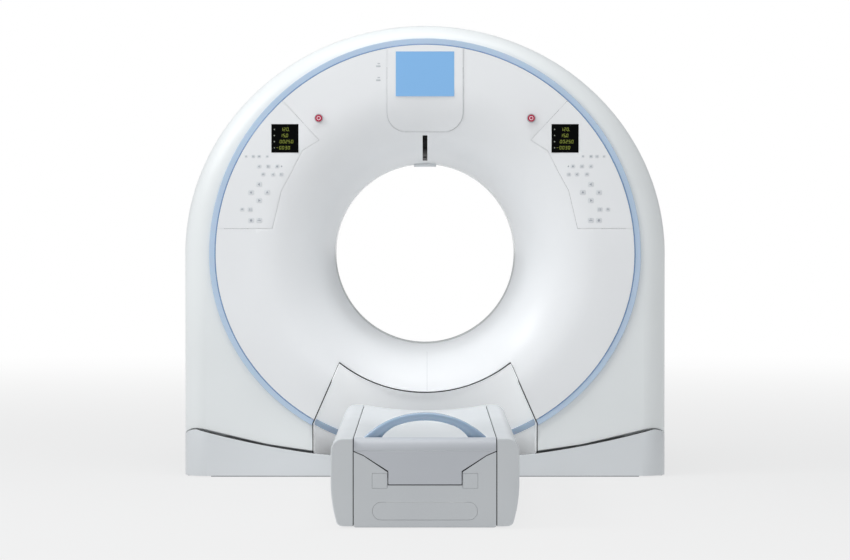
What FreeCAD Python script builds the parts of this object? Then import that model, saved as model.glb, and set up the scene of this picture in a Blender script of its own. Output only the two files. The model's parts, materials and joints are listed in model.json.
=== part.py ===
import FreeCAD, Part
import math
import os

# A computed-tomography scanner: a tilting gantry on a floor stand, and a patient couch in
# front of it, in millimetres.
# The origin is on the floor, straight below the isocentre. +Y runs from the couch into the
# gantry, +X is to the right of someone who looks that way, and +Z is up.

# ---------------------------------------------------------------- driving dimensions
# gantry envelope
iso_height = 940.0            # isocentre above the floor
bore_radius = 390.0           # patient opening
body_half_width = 1020.0
body_top_rise = 970.0         # crown above the isocentre
body_half_depth = 420.0       # shell, without the face that stands in front of it
body_edge_round = 95.0
swing_profile = [(474.0, 930.0), (666.0, 905.0), (1020.0, 830.0)]
# the body's round underside: half widths and, at each, the radius about the tilt axis
swing_gap = 8.0               # between the tilting body and the plinth
shell_wall = 4.0
seam_gap = 1.0
bore_axis = FreeCAD.Vector(0, 1, 0)
iso = FreeCAD.Vector(0, 0, iso_height)

# front face, funnel and accent ring
face_radius = 884.0
face_proud = 15.0             # face in front of the shell
squash = 0.93                 # the ring's lower half is flattened to this share
funnel_start_radius = 720.0
funnel_round = 310.0
funnel_sweep = 75.0           # degrees of funnel arc before the straight run to the throat
ring_width = 27.0
ring_set_back = 3.0
rear_throat_y = 150.0
rear_mouth_radius = 560.0
liner_wall = 3.0
shell_split_y = 100.0         # seam between the outer shell and the rear cover

# lower front recess, which lets the couch come close when the gantry tilts
recess_top_half_width = 362.0
recess_top_drop = 458.0       # below the isocentre
recess_half_width = 474.0
recess_shoulder_height = 226.0
recess_bottom_y = -250.0      # where the sloping floor of the recess ends
recess_bottom_height = 76.0
recess_arc_radius = 582.0

# controls on the face
screen_half_width = 123.0
screen_bottom = 668.0         # heights above the isocentre
screen_top = 856.0
screen_housing_half_width = 160.0
screen_housing_bottom = 520.0
screen_housing_round = 80.0
screen_proud = 4.0
screen_backing_gap = 7.0      # the screen's case clears the bend behind the face
panel_points = [(-645.0, 110.0), (-607.0, 270.0), (-565.0, 346.0), (-518.0, 439.0), (-447.0, 483.0),
                (-599.0, 646.0)]
display_inner_x = 534.0
display_width = 114.0
display_bottom = 430.0
display_height = 120.0
display_thickness = 5.0
estop_x = 448.0
estop_rise = 575.0
estop_head_radius = 15.0
estop_stem_radius = 8.0
estop_travel = 4.0
laser_slot_half_width = 10.0
laser_slot_inner = 402.0      # radius on the funnel
laser_slot_outer = 505.0
laser_lip_half_width = 48.0
laser_lip_drop = 13.0
laser_lip_length = 80.0

# stand
plinth_middle_height = 68.0   # top line of the plinth, seen from the front
plinth_arc_radius = 3598.0
plinth_half_depth = 430.0
plinth_wall = 5.0
plinth_corner = 100.0
plinth_floor_gap = 4.0
beam_height = 58.0
beam_width = 80.0
beam_half_length = 905.0
sill_height = 50.0
sill_inner_x = 850.0
sill_outer_x = 1008.0
anchor_spacing_x = 1400.0
anchor_spacing_y = 770.0
anchor_hole_radius = 9.0
pillar_inner_x = 885.0
pillar_thickness = 75.0
pillar_half_width = 50.0
pillar_slot_gap = 6.0         # left and right of a pillar in the body's underside
pillar_slot_reach = 400.0     # front and back, for the full tilt
pillar_slot_bottom = 12.0
pillar_slot_top = 320.0
bearing_housing_radius = 100.0
tilt_bearing_radius = 70.0
trunnion_radius = 45.0
plinth_block_height = 330.0   # tall enough for the highest point of its top line
tilt_gear_width = 40.0
tilt_motor_radius = 25.0
tilt_motor_offset = 26.0      # from the pillar's outer face
tilt_motor_drop = 330.0       # its lower end, below the isocentre
tilt_saddle_thickness = 12.0
tilt_saddle_width = 60.0
tilt_saddle_drop = 300.0
trunnion_engagement = 28.0    # length of the driven trunnion inside the gearbox
docking_half_width = 150.0
docking_thickness = 3.0
running_gap = 0.05            # shaft in its bearing, radial
free_gap = 0.3                # between curved faces that move past each other

# tilting frame, rotor and drive
frame_front_y = 150.0
frame_thickness = 50.0
frame_radius = 835.0
flange_radius = 78.0
flange_thickness = 8.0
cheek_thickness = 65.0
cheek_reach = 70.0            # in front of the isocentre
cheek_half_height = 110.0
motor_ear_half_width = 80.0
bracket_width = 32.0
bracket_inner_radius = 800.0
bracket_middle_radius = 845.0
bracket_outer_radius = 935.0
bracket_angles = (13.0, 80.0, 114.0, -20.0, -66.0, -112.0)
race_pitch_radius = 493.0
race_half_gap = 4.0
ball_radius = 10.0
ball_count = 60
race_width = 50.0
inner_race_bore = 450.0
outer_race_radius = 540.0
rotor_radius = 780.0
rotor_bore = 430.0
rotor_thickness = 40.0
rotor_front_limit_y = -185.0
tube_radius = 105.0
tube_nose_radius = 63.0
tube_orbit = 640.0
collimator_half_width = 85.0
collimator_height = 73.0
focus_radius = 600.0
detector_distance = 1072.0
detector_depth = 58.0
detector_half_fan = 24.0
rotor_units = {               # half width, inner and outer radius, degrees from the top
    "high_voltage_generator": (150.0, 480.0, 735.0, 68.0),
    "heat_exchanger": (135.0, 500.0, 745.0, -58.0),
    "data_unit": (110.0, 520.0, 740.0, 106.0),
    "balance_weight": (120.0, 590.0, 755.0, -102.0),
}
brush_width = 90.0
brush_angle = -38.0
belt_thickness = 6.0
belt_width = 36.0
pulley_radius = 50.0
pulley_orbit = 880.0
pulley_angle = 40.0           # clockwise from the top, seen from the couch
motor_radius = 68.0
motor_length = 170.0
motor_shaft_radius = 15.0

# couch
couch_foot_y = -2690.0
couch_head_y = -620.0
couch_top_height = 316.0      # lowest position
couch_centre_half_width = 251.5
couch_seam = 3.5
couch_half_width = 333.0
couch_skirt_half_width = 309.0
couch_skirt_break = 100.0     # height where the side starts to draw in
couch_shoulder = 45.0
couch_wall = 5.0
couch_floor_gap = 6.0
foot_round = 46.0
cradle_sag = 23.0
cradle_edge_depth = 60.0
cradle_bevel = 25.0
cradle_clear = 3.0
tongue_half_width = 129.0
tongue_bottom = 154.0
tongue_shoulder = 201.0
tongue_ear_x = 218.0
tongue_ear_height = 258.0
tongue_side_height = 274.0
access_half_width = 185.0
access_bottom = 29.0
access_height = 62.0
hatch_inner_x = 134.0
hatch_size = 52.0
hatch_bottom = 141.0
lid_gap = 0.8

# couch lift
arm_length = 1050.0           # pivot to pivot
arm_low_rise = 90.0           # upper pivots above lower ones, couch down
arm_high_rise = 690.0         # and couch up
arm_pivot_height = 90.0
arm_fixed_y = -950.0
arm_half_height = 25.0
arm_thickness = 20.0
inner_arm_x = 185.0
outer_arm_x = 215.0
arm_shaft_radius = 14.0
arm_pin_radius = 12.0
roller_radius = 20.0
roller_width = 22.0
couch_rail_inner_x = 150.0
couch_rail_outer_x = 240.0
couch_rail_height = 50.0
base_head_clearance = 170.0   # base frame beyond the fixed pivots
lift_gearbox_width = 140.0
lift_gearbox_reach = 55.0
lift_gearbox_rise = 45.0
lift_motor_radius = 38.0
lift_motor_length = 300.0
lift_rail_height = 40.0
guide_inner_x = 110.0
guide_width = 40.0
couch_anchor_spacing_x = 390.0
couch_anchor_spacing_y = 1700.0
cradle_travel = 250.0

# push handle
handle_half_width = 217.0
handle_rise = 87.0            # crown above the couch top
handle_opening_half_width = 144.0
handle_thickness = 29.0
handle_depth = 35.0
handle_set_back = 75.0        # from the foot end

# ---------------------------------------------------------------- derived places
shell_front_y = -body_half_depth
face_front_y = shell_front_y - face_proud
ring_outer_radius = face_radius + seam_gap + ring_width
ring_front_y = face_front_y + ring_set_back
ring_back_y = shell_front_y + shell_wall
funnel_centre_y = face_front_y + funnel_round
rotor_back_y = frame_front_y - race_width
rotor_front_y = rotor_back_y - rotor_thickness
frame_back_y = frame_front_y + frame_thickness
pillar_outer_x = pillar_inner_x + pillar_thickness
couch_side_inner_x = couch_centre_half_width + couch_seam
couch_rear_of_round_y = couch_foot_y + foot_round
cradle_foot_y = couch_foot_y + 70.0
cradle_head_y = couch_head_y - 10.0
cradle_half_width = couch_side_inner_x - cradle_clear
cradle_bottom = couch_top_height - cradle_edge_depth
arm_run = math.sqrt(arm_length ** 2 - arm_low_rise ** 2)
arm_roller_y = arm_fixed_y - arm_run
arm_top_height = arm_pivot_height + arm_low_rise
frame_underside = arm_top_height + roller_radius + free_gap
base_head_y = arm_fixed_y + base_head_clearance


# ---------------------------------------------------------------- shape helpers
def vec(x, y, z):
    return FreeCAD.Vector(x, y, z)


def box(x0, x1, y0, y1, z0, z1):
    return Part.makeBox(x1 - x0, y1 - y0, z1 - z0, vec(x0, y0, z0))


def rod_x(radius, x0, x1, y, z):
    return Part.makeCylinder(radius, x1 - x0, vec(x0, y, z), vec(1, 0, 0))


def rod_y(radius, y0, y1, x, z):
    return Part.makeCylinder(radius, y1 - y0, vec(x, y0, z), bore_axis)


def rod_z(radius, x, y, z0, z1):
    return Part.makeCylinder(radius, z1 - z0, vec(x, y, z0), vec(0, 0, 1))


def bore_disc(radius, y0, y1):
    """A cylinder about the bore axis."""
    return rod_y(radius, y0, y1, 0, iso_height)


def bore_ring(inner, outer, y0, y1):
    return bore_disc(outer, y0, y1).cut(bore_disc(inner, y0 - 1, y1 + 1))


def prism_y(points, y0, y1):
    """A polygon of (x, z) points, pushed along Y."""
    corners = [vec(x, y0, z) for x, z in points]
    return Part.Face(Part.makePolygon(corners + corners[:1])).extrude(vec(0, y1 - y0, 0))


def prism_x(points, x0, x1):
    """A polygon of (y, z) points, pushed along X."""
    corners = [vec(x0, y, z) for y, z in points]
    return Part.Face(Part.makePolygon(corners + corners[:1])).extrude(vec(x1 - x0, 0, 0))


def joined(shapes):
    result = shapes[0]
    for shape in shapes[1:]:
        result = result.fuse(shape)
    return result.removeSplitter()


def both_sides(shape):
    """The shape and its mirror image across the plane X = 0, as separate solids."""
    return Part.makeCompound([shape, shape.mirror(vec(0, 0, 0), vec(1, 0, 0))])


def mirrored(shape):
    return shape.mirror(vec(0, 0, 0), vec(1, 0, 0))


def turned(shape, degrees):
    """Turned about the bore axis, clockwise seen from the couch."""
    copy = shape.copy()
    copy.rotate(iso, bore_axis, degrees)
    return copy


def half_ellipse(half_width, rise, y, sign):
    """The upper (sign 1) or lower (sign -1) half of an ellipse about the isocentre."""
    centre = vec(0, y, iso_height)
    across = vec(half_width, 0, 0)
    up = vec(0, 0, sign * rise)
    if half_width > rise:
        curve = Part.Ellipse(centre + across, centre + up, centre)
        return Part.ArcOfEllipse(curve, 0, math.pi).toShape()
    if half_width < rise:
        curve = Part.Ellipse(centre + up, centre - across, centre)
        return Part.ArcOfEllipse(curve, -math.pi / 2, math.pi / 2).toShape()
    return Part.Arc(centre + across, centre + up, centre - across).toShape()


def face_outline(radius, y0, y1):
    """The face's outline as a solid: a half circle above, a flattened half below."""
    edges = [half_ellipse(radius, radius, y0, 1), half_ellipse(radius, radius * squash, y0, -1)]
    wire = Part.Wire(Part.__sortEdges__(edges))
    return Part.Face(wire).extrude(vec(0, y1 - y0, 0))


# ---------------------------------------------------------------- tilting body envelope
def rocker(inset):
    """The barrel about the tilt axis that the body's underside fills and the plinth clears."""
    (near_x, near_radius), (last_x, last_radius) = swing_profile[-2:]
    slope = (near_radius - last_radius) / (last_x - near_x)
    end = body_half_width + 10.0
    right = swing_profile[:-1] + [(end, last_radius - slope * (end - last_x))]
    right = [(x, radius - inset) for x, radius in right]
    profile = [(-end, 0)] + [(-x, radius) for x, radius in reversed(right)] + right + [(end, 0)]
    points = [vec(x, 0, iso_height + radius) for x, radius in profile]
    return Part.Face(Part.makePolygon(points + points[:1])).revolve(iso, vec(1, 0, 0), 360)


def body_solid(inset):
    """The closed outside of the tilting body, or the same drawn in by a wall."""
    half_width = body_half_width - inset
    half_depth = body_half_depth - inset
    foot = -half_width
    crown = half_ellipse(half_width, body_top_rise - inset, -half_depth, 1)
    right_top = vec(half_width, -half_depth, iso_height)
    right_foot = vec(half_width, -half_depth, foot)
    left_foot = vec(-half_width, -half_depth, foot)
    left_top = vec(-half_width, -half_depth, iso_height)
    sides = Part.makePolygon([right_top, right_foot, left_foot, left_top]).Edges
    wire = Part.Wire(Part.__sortEdges__([crown] + sides))
    block = Part.Face(wire).extrude(vec(0, 2 * half_depth, 0))
    rims = [edge for edge in block.Edges
            if abs(abs(edge.CenterOfMass.y) - half_depth) < 0.1 and edge.BoundBox.ZMax > foot + 1]
    block = block.makeFillet(body_edge_round - inset, rims)
    upper = box(-half_width - 1, half_width + 1, -half_depth - 1, half_depth + 1,
                iso_height, iso_height + body_top_rise + 1)
    lower = block.common(rocker(inset))
    return lower.fuse(block.common(upper)).removeSplitter()


def recess_profile(grow):
    """The recess seen from the front, grown outward, as (x, z) points."""
    top = iso_height - recess_top_drop + grow + recess_half_width
    slope = (recess_half_width - recess_top_half_width) / (
        iso_height - recess_top_drop - recess_shoulder_height)
    narrow = recess_top_half_width - slope * recess_half_width
    right = [(recess_half_width + grow, -10.0), (recess_half_width + grow, recess_shoulder_height),
             (narrow + grow, top)]
    return right + [(-x, z) for x, z in reversed(right)]


def recess_slope_y(z, behind):
    """Where the sloping floor of the recess lies at a height, or a distance behind it."""
    top_z = iso_height - recess_top_drop
    front = face_front_y + shell_wall
    lean = (recess_bottom_y - front) / (top_z - recess_bottom_height)
    return front + (top_z - z) * lean + behind


def recess_solid(grow, behind):
    """The space of the recess: in front of its sloping floor and outside its top arc."""
    low, high = -10.0, iso_height
    wedge = prism_x([(-600.0, low), (recess_slope_y(low, behind), low),
                     (recess_slope_y(high, behind), high), (-600.0, high)],
                    -body_half_width, body_half_width)
    space = wedge.common(prism_y(recess_profile(grow), -600.0, 0.0))
    return space.cut(bore_disc(recess_arc_radius - grow, -601.0, 1.0))


def pillar_slot():
    """The long opening in the body's underside that a pillar passes through as the body tilts."""
    return both_sides(box(pillar_inner_x - pillar_slot_gap, pillar_outer_x + pillar_slot_gap,
                          -pillar_slot_reach, pillar_slot_reach, pillar_slot_bottom, pillar_slot_top))


# ---------------------------------------------------------------- front face
def face_skin(proud=0.0):
    """The moulded front face with its funnel, uncut, or a field that stands proud of it."""
    sweep = math.radians(funnel_sweep)
    lean = math.tan(math.pi / 2 - sweep)

    def on_arc(radius, angle):
        return vec(funnel_start_radius - radius * math.sin(angle),
                   funnel_centre_y - radius * math.cos(angle), iso_height)

    inner_round = funnel_round - shell_wall
    outer_round = funnel_round + proud
    arc_end = on_arc(funnel_round, sweep)
    throat_y = arc_end.y + (arc_end.x - bore_radius) / lean
    arc_end = on_arc(outer_round, sweep)
    throat_inner = vec(bore_radius - proud / math.sin(sweep), throat_y, iso_height)
    throat_outer = vec(bore_radius + shell_wall / math.sin(sweep), throat_y, iso_height)
    rim_front = vec(face_radius, face_front_y - proud, iso_height)
    rim_back = vec(face_radius, face_front_y + shell_wall, iso_height)
    edges = [
        Part.makeLine(rim_front, on_arc(outer_round, 0)),
        Part.Arc(on_arc(outer_round, 0), on_arc(outer_round, sweep / 2), arc_end).toShape(),
        Part.makeLine(arc_end, throat_inner),
        Part.makeLine(throat_inner, throat_outer),
        Part.makeLine(throat_outer, on_arc(inner_round, sweep)),
        Part.Arc(on_arc(inner_round, sweep), on_arc(inner_round, sweep / 2),
                 on_arc(inner_round, 0)).toShape(),
        Part.makeLine(on_arc(inner_round, 0), rim_back),
        Part.makeLine(rim_back, rim_front),
    ]
    skin = Part.Face(Part.Wire(edges)).revolve(iso, bore_axis, 360)
    outline = face_outline(face_radius, face_front_y - proud - 1, throat_y + 1)
    return skin.common(outline), throat_y


def panel_prism(grow, side):
    """The outline of a control panel, pushed through the face."""
    outer = [(-face_radius - 50.0, 646.0), (-face_radius - 50.0, 110.0)]
    points = [(-side * x, iso_height + z) for x, z in panel_points + outer]
    prism = prism_y(points, face_front_y - 5, face_front_y + 60)
    return prism if grow == 0 else prism_grown(points, grow)


def prism_grown(points, grow):
    wire = Part.makePolygon([vec(x, face_front_y - 5, z) for x, z in points + points[:1]])
    wider = Part.Face(wire).makeOffset2D(grow, join=2)
    return wider.extrude(vec(0, 65, 0))


def display_prism(grow, side, y0, y1):
    x0, x1 = sorted((side * display_inner_x, side * (display_inner_x + display_width)))
    return box(x0 - grow, x1 + grow, y0, y1, iso_height + display_bottom - grow,
               iso_height + display_bottom + display_height + grow)


def screen_prism(grow, y0, y1):
    return box(-screen_half_width - grow, screen_half_width + grow, y0, y1,
               iso_height + screen_bottom - grow, iso_height + screen_top + grow)


def housing_prism(grow, y0, y1):
    """The U-shaped field that carries the screen, up to the accent ring."""
    low = iso_height + screen_housing_bottom - grow
    half_width = screen_housing_half_width + grow
    field = box(-half_width, half_width, y0, y1, low, iso_height + face_radius + 50)
    corners = [edge for edge in field.Edges
               if edge.BoundBox.YLength > 1 and abs(edge.CenterOfMass.z - low) < 0.1]
    field = field.makeFillet(screen_housing_round, corners)
    return field.common(face_outline(face_radius, y0 - 1, y1 + 1))


def laser_slot(grow, throat_y):
    return box(-laser_slot_half_width - grow, laser_slot_half_width + grow, face_front_y, throat_y,
               iso_height + laser_slot_inner - grow, iso_height + laser_slot_outer + grow)


def face_pieces(parts):
    skin, throat_y = face_skin()
    face_back = face_front_y + shell_wall
    for name, side in (("left", -1), ("right", 1)):
        panel = skin.common(panel_prism(0, side)).cut(display_prism(free_gap, side, -500, -400))
        parts[name + "_control_panel"] = panel
        front = face_front_y - 1.0
        parts[name + "_display"] = display_prism(0, side, front, front + display_thickness)
    cover = skin.cut(recess_solid(seam_gap, 200.0))
    for side in (-1, 1):
        cover = cover.cut(panel_prism(seam_gap, side))
        cover = cover.cut(rod_y(estop_stem_radius + free_gap, face_front_y - 1, face_back + 1,
                                side * estop_x, iso_height + estop_rise))
    cover = cover.cut(housing_prism(seam_gap, face_front_y - 1, throat_y))
    parts["front_cover"] = cover.cut(laser_slot(free_gap, throat_y))
    parts["laser_window"] = skin.common(laser_slot(0, throat_y))
    lip = box(-laser_lip_half_width, laser_lip_half_width, throat_y + 2, throat_y + laser_lip_length,
              iso_height + bore_radius - laser_lip_drop, iso_height + bore_radius + 1)
    parts["laser_housing"] = lip.common(bore_disc(bore_radius - free_gap, throat_y, throat_y + 200))
    parts["bore_liner"] = bore_ring(bore_radius, bore_radius + liner_wall, throat_y, rear_throat_y)

    field = face_skin(screen_proud)[0].common(housing_prism(0, face_front_y - 20, throat_y))
    parts["screen_housing"] = field.cut(screen_prism(free_gap, face_front_y - 20, throat_y))
    glass_front = face_front_y - screen_proud - 1
    backing_front = face_back + screen_backing_gap
    glass = screen_prism(0, glass_front, backing_front)
    backing = screen_prism(8.0, backing_front, backing_front + 10)
    parts["status_screen"] = joined([glass, backing])

    ring = face_outline(ring_outer_radius, ring_front_y, ring_back_y)
    ring = ring.cut(face_outline(face_radius + seam_gap, ring_front_y - 1, ring_back_y + 1))
    parts["accent_ring"] = ring.cut(recess_solid(seam_gap, 200.0))

    collars = []
    switches = []
    for side in (-1, 1):
        x = side * estop_x
        z = iso_height + estop_rise
        collar = rod_y(estop_head_radius + 4, face_front_y - 3, face_front_y, x, z)
        hole = rod_y(estop_stem_radius + free_gap, face_front_y - 30, face_back + 20, x, z)
        collars.append(collar.cut(hole))
        block = box(x - 20, x + 20, face_back + 0.8, face_back + 36, z - 20, z + 20)
        switches.append(block.cut(hole))
        head = rod_y(estop_head_radius, face_front_y - 16, face_front_y - 3 - estop_travel - 0.5, x, z)
        stem = rod_y(estop_stem_radius, face_front_y - 12, face_back + 15, x, z)
        parts[("left" if side < 0 else "right") + "_estop"] = joined([head, stem])
    parts["estop_collars"] = Part.makeCompound(collars + switches)


# ---------------------------------------------------------------- body covers
def cover_pieces(parts):
    whole = body_solid(0).cut(body_solid(shell_wall))
    front_opening = face_outline(ring_outer_radius + free_gap, shell_front_y - 1, ring_back_y + 1)
    shell = whole.cut(front_opening).cut(pillar_slot())
    shell = shell.cut(recess_solid(seam_gap, shell_wall + seam_gap))
    deep = body_half_depth + 1
    wide = body_half_width + 1
    high = iso_height + body_top_rise + 1
    parts["outer_shell"] = shell.cut(box(-wide, wide, shell_split_y, deep, 0, high))
    rear = shell.cut(box(-wide, wide, -deep, shell_split_y + seam_gap, 0, high))
    rear = rear.cut(bore_disc(rear_mouth_radius, 300.0, deep))
    slope = (rear_mouth_radius - bore_radius) / (body_half_depth - rear_throat_y)
    wall = shell_wall * math.sqrt(1 + slope ** 2)
    profile = [(bore_radius, rear_throat_y), (rear_mouth_radius, body_half_depth),
               (rear_mouth_radius + wall, body_half_depth), (bore_radius + wall, rear_throat_y)]
    points = [vec(radius, y, iso_height) for radius, y in profile]
    funnel = Part.Face(Part.makePolygon(points + points[:1])).revolve(iso, bore_axis, 360)
    parts["rear_cover"] = joined([rear, funnel])

    tray = recess_solid(0, shell_wall).cut(recess_solid(-shell_wall, 0))
    reach = box(-wide, wide, face_front_y + shell_wall, 0, 0, iso_height)
    tray = tray.common(reach).common(body_solid(0).fuse(face_outline(
        face_radius, face_front_y, shell_front_y + 1)))
    parts["lower_front_cover"] = max(tray.Solids, key=lambda solid: solid.Volume)
    band = face_outline(ring_outer_radius, face_front_y - 50, 0)
    band = band.cut(face_outline(face_radius + seam_gap, face_front_y - 51, 1))
    on_slope = recess_solid(-shell_wall - seam_gap, 0).cut(recess_solid(0, -8.0))
    lower_band = band.common(on_slope).common(body_solid(0))
    parts["accent_ring"] = Part.makeCompound([parts["accent_ring"], lower_band])

    cavity = body_solid(shell_wall)
    brackets = []
    half = bracket_width / 2
    low = iso_height + bracket_inner_radius
    for degrees in bracket_angles:
        near = box(-half, half, face_front_y + shell_wall, frame_front_y, low,
                   iso_height + bracket_middle_radius)
        far = box(-half, half, ring_back_y, frame_front_y, low, iso_height + bracket_outer_radius)
        near = turned(near, degrees).common(face_outline(face_radius, -500, frame_front_y))
        bracket = joined([near, turned(far, degrees).common(cavity)])
        brackets.append(bracket)
    parts["cover_brackets"] = Part.makeCompound(brackets)


# ---------------------------------------------------------------- stand
def plinth_solid(inset):
    half_width = body_half_width - inset
    half_depth = plinth_half_depth - inset
    top = plinth_block_height
    block = box(-half_width, half_width, -half_depth, half_depth, plinth_floor_gap - 2 * (inset > 0), top)
    posts = [edge for edge in block.Edges if edge.BoundBox.ZLength > top - 10]
    block = block.makeFillet(plinth_corner - inset, posts)
    above = rod_y(plinth_arc_radius + inset, -half_depth - 1, half_depth + 1, 0,
                  plinth_middle_height + plinth_arc_radius)
    return block.cut(above).cut(rocker(-swing_gap - inset))


def stand_pieces(parts):
    pocket = both_sides(box(sill_inner_x - 5, body_half_width - plinth_wall,
                            -plinth_half_depth + plinth_wall, plinth_half_depth - plinth_wall,
                            0, plinth_block_height))
    inner = box(-body_half_width + plinth_wall, body_half_width - plinth_wall,
                -plinth_half_depth + plinth_wall, plinth_half_depth - plinth_wall, 0, plinth_block_height)
    posts = [edge for edge in inner.Edges if edge.BoundBox.ZLength > plinth_block_height - 10]
    inner = inner.makeFillet(plinth_corner - plinth_wall, posts)
    plinth = plinth_solid(0).cut(plinth_solid(plinth_wall)).cut(inner.common(pocket))
    half = body_half_width + 1
    depth = plinth_half_depth + 1
    front = plinth.cut(box(-half, half, -seam_gap / 2, depth, 0, 400))
    rear = plinth.cut(box(-half, half, -depth, seam_gap / 2, 0, 400))
    parts["plinth_front_cover"] = front
    parts["plinth_rear_cover"] = rear

    beam_y = plinth_half_depth - plinth_wall
    beams = [box(-beam_half_length, beam_half_length, sign * beam_y - (sign > 0) * beam_width,
                 sign * beam_y + (sign < 0) * beam_width, 0, beam_height) for sign in (-1, 1)]
    sill_y = beam_y - beam_width + 5
    sills = [box(sill_inner_x, sill_outer_x, -sill_y, sill_y, 0, sill_height),
             box(-sill_outer_x, -sill_inner_x, -sill_y, sill_y, 0, sill_height)]
    base = joined(beams + sills)
    for x in (-anchor_spacing_x / 2, anchor_spacing_x / 2):
        for y in (-anchor_spacing_y / 2, anchor_spacing_y / 2):
            base = base.cut(rod_z(anchor_hole_radius, x, y, -1, beam_height + 1))
    parts["base_frame"] = base

    column = box(pillar_inner_x, pillar_outer_x, -pillar_half_width, pillar_half_width,
                 sill_height, iso_height)
    head = rod_x(bearing_housing_radius, pillar_inner_x, pillar_outer_x, 0, iso_height)
    seat = rod_x(tilt_bearing_radius, pillar_inner_x - 1, pillar_outer_x + 1, 0, iso_height)
    pillar = joined([column, head]).cut(seat)
    parts["pillars"] = both_sides(pillar)
    bearing = rod_x(tilt_bearing_radius, pillar_inner_x + 5, pillar_outer_x - 5, 0, iso_height)
    journal = rod_x(trunnion_radius + running_gap, pillar_inner_x, pillar_outer_x, 0, iso_height)
    parts["tilt_bearings"] = both_sides(bearing.cut(journal))

    gear_inner = pillar_outer_x
    gearbox = rod_x(bearing_housing_radius - 5, gear_inner, gear_inner + tilt_gear_width, 0, iso_height)
    motor = rod_z(tilt_motor_radius, gear_inner + tilt_motor_offset, 0, iso_height - tilt_motor_drop,
                  iso_height - tilt_motor_radius)
    saddle = box(gear_inner, gear_inner + tilt_saddle_thickness, -tilt_saddle_width / 2,
                 tilt_saddle_width / 2, iso_height - tilt_saddle_drop, iso_height - tilt_motor_radius)
    trunnion_hole = rod_x(trunnion_radius + running_gap, gear_inner - 1,
                          gear_inner + trunnion_engagement + 2, 0, iso_height)
    parts["tilt_gearmotor"] = joined([gearbox, motor, saddle]).cut(trunnion_hole)
    parts["docking_plate"] = box(-docking_half_width, docking_half_width, base_head_y, -beam_y, 0,
                                 docking_thickness)


# ---------------------------------------------------------------- tilting frame and rotor
def frame_pieces(parts):
    plate = bore_ring(race_pitch_radius, frame_radius, frame_front_y, frame_back_y)
    plate = plate.common(body_solid(shell_wall + 10))
    cheek_x = pillar_inner_x - flange_thickness - 5
    cheek = box(cheek_x - cheek_thickness, cheek_x, -cheek_reach, frame_back_y,
                iso_height - cheek_half_height, iso_height + cheek_half_height)
    cheeks = [cheek, mirrored(cheek)]
    ear = box(-motor_ear_half_width, motor_ear_half_width, frame_front_y, frame_back_y,
              iso_height + pulley_orbit - motor_ear_half_width, iso_height + body_top_rise)
    ear = turned(ear, pulley_angle).common(body_solid(shell_wall + 2))
    shaft_hole = turned(rod_y(motor_shaft_radius + free_gap, 0, 300, 0, iso_height + pulley_orbit),
                        pulley_angle)
    parts["tilt_frame"] = joined([plate] + cheeks + [ear]).cut(shaft_hole)
    flange = rod_x(flange_radius, cheek_x, cheek_x + flange_thickness, 0, iso_height)
    shaft = rod_x(trunnion_radius, cheek_x, pillar_outer_x + trunnion_engagement, 0, iso_height)
    trunnion = joined([flange, shaft])
    left_shaft = rod_x(trunnion_radius, cheek_x, pillar_outer_x - 1, 0, iso_height)
    parts["trunnions"] = Part.makeCompound([trunnion, mirrored(joined([flange, left_shaft]))])

    groove = Part.makeTorus(race_pitch_radius, ball_radius + 0.5,
                            vec(0, frame_front_y - race_width / 2, iso_height), bore_axis)
    inner_race = bore_ring(inner_race_bore, race_pitch_radius - race_half_gap, rotor_back_y,
                           frame_front_y - 1)
    outer_race = bore_ring(race_pitch_radius + race_half_gap, outer_race_radius, rotor_back_y + 1,
                           frame_front_y)
    parts["bearing_inner_race"] = inner_race.cut(groove)
    parts["bearing_outer_race"] = outer_race.cut(groove)
    ball = Part.makeSphere(ball_radius, vec(0, frame_front_y - race_width / 2,
                                            iso_height + race_pitch_radius))
    parts["bearing_balls"] = Part.makeCompound(
        [turned(ball, 360.0 * i / ball_count) for i in range(ball_count)])

    motor_front = frame_back_y
    motor = rod_y(motor_radius, motor_front, motor_front + motor_length, 0, iso_height + pulley_orbit)
    bore = rod_y(motor_shaft_radius + free_gap, motor_front - 1, motor_front + 31, 0,
                 iso_height + pulley_orbit)
    parts["drive_motor"] = turned(motor.cut(bore), pulley_angle)
    pulley = rod_y(pulley_radius, rotor_front_y, rotor_back_y, 0, iso_height + pulley_orbit)
    shaft = rod_y(motor_shaft_radius, rotor_back_y, motor_front + 30, 0, iso_height + pulley_orbit)
    parts["motor_pulley"] = turned(joined([pulley, shaft]), pulley_angle)
    parts["drive_belt"] = turned(belt_loop(), pulley_angle)
    brush = box(-brush_width / 2, brush_width / 2, frame_front_y + 4, frame_back_y - 8,
                iso_height + inner_race_bore - 2, iso_height + outer_race_radius)
    parts["brush_block"] = turned(brush, brush_angle).common(
        bore_disc(race_pitch_radius - free_gap, 0, 300))


def belt_outline(extra, y0, y1):
    """The rotor and its pulley inside one tight loop, grown by a distance."""
    big = rotor_radius + extra
    small = pulley_radius + extra
    lean = math.asin((big - small) / pulley_orbit)
    points = []
    for sign in (1, -1):
        side = vec(sign * math.cos(lean), 0, math.sin(lean))
        near = iso + side * big
        far = iso + vec(0, 0, pulley_orbit) + side * small
        points += [near, far] if sign > 0 else [far, near]
    quad = prism_y([(p.x, p.z) for p in points], y0, y1)
    caps = [bore_disc(big, y0, y1), rod_y(small, y0, y1, 0, iso_height + pulley_orbit)]
    return quad.fuse(caps[0]).fuse(caps[1]).removeSplitter()


def belt_loop():
    middle = (rotor_front_y + rotor_back_y) / 2
    y0, y1 = middle - belt_width / 2, middle + belt_width / 2
    return belt_outline(free_gap + belt_thickness, y0, y1).cut(belt_outline(free_gap, y0 - 1, y1 + 1))


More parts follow.
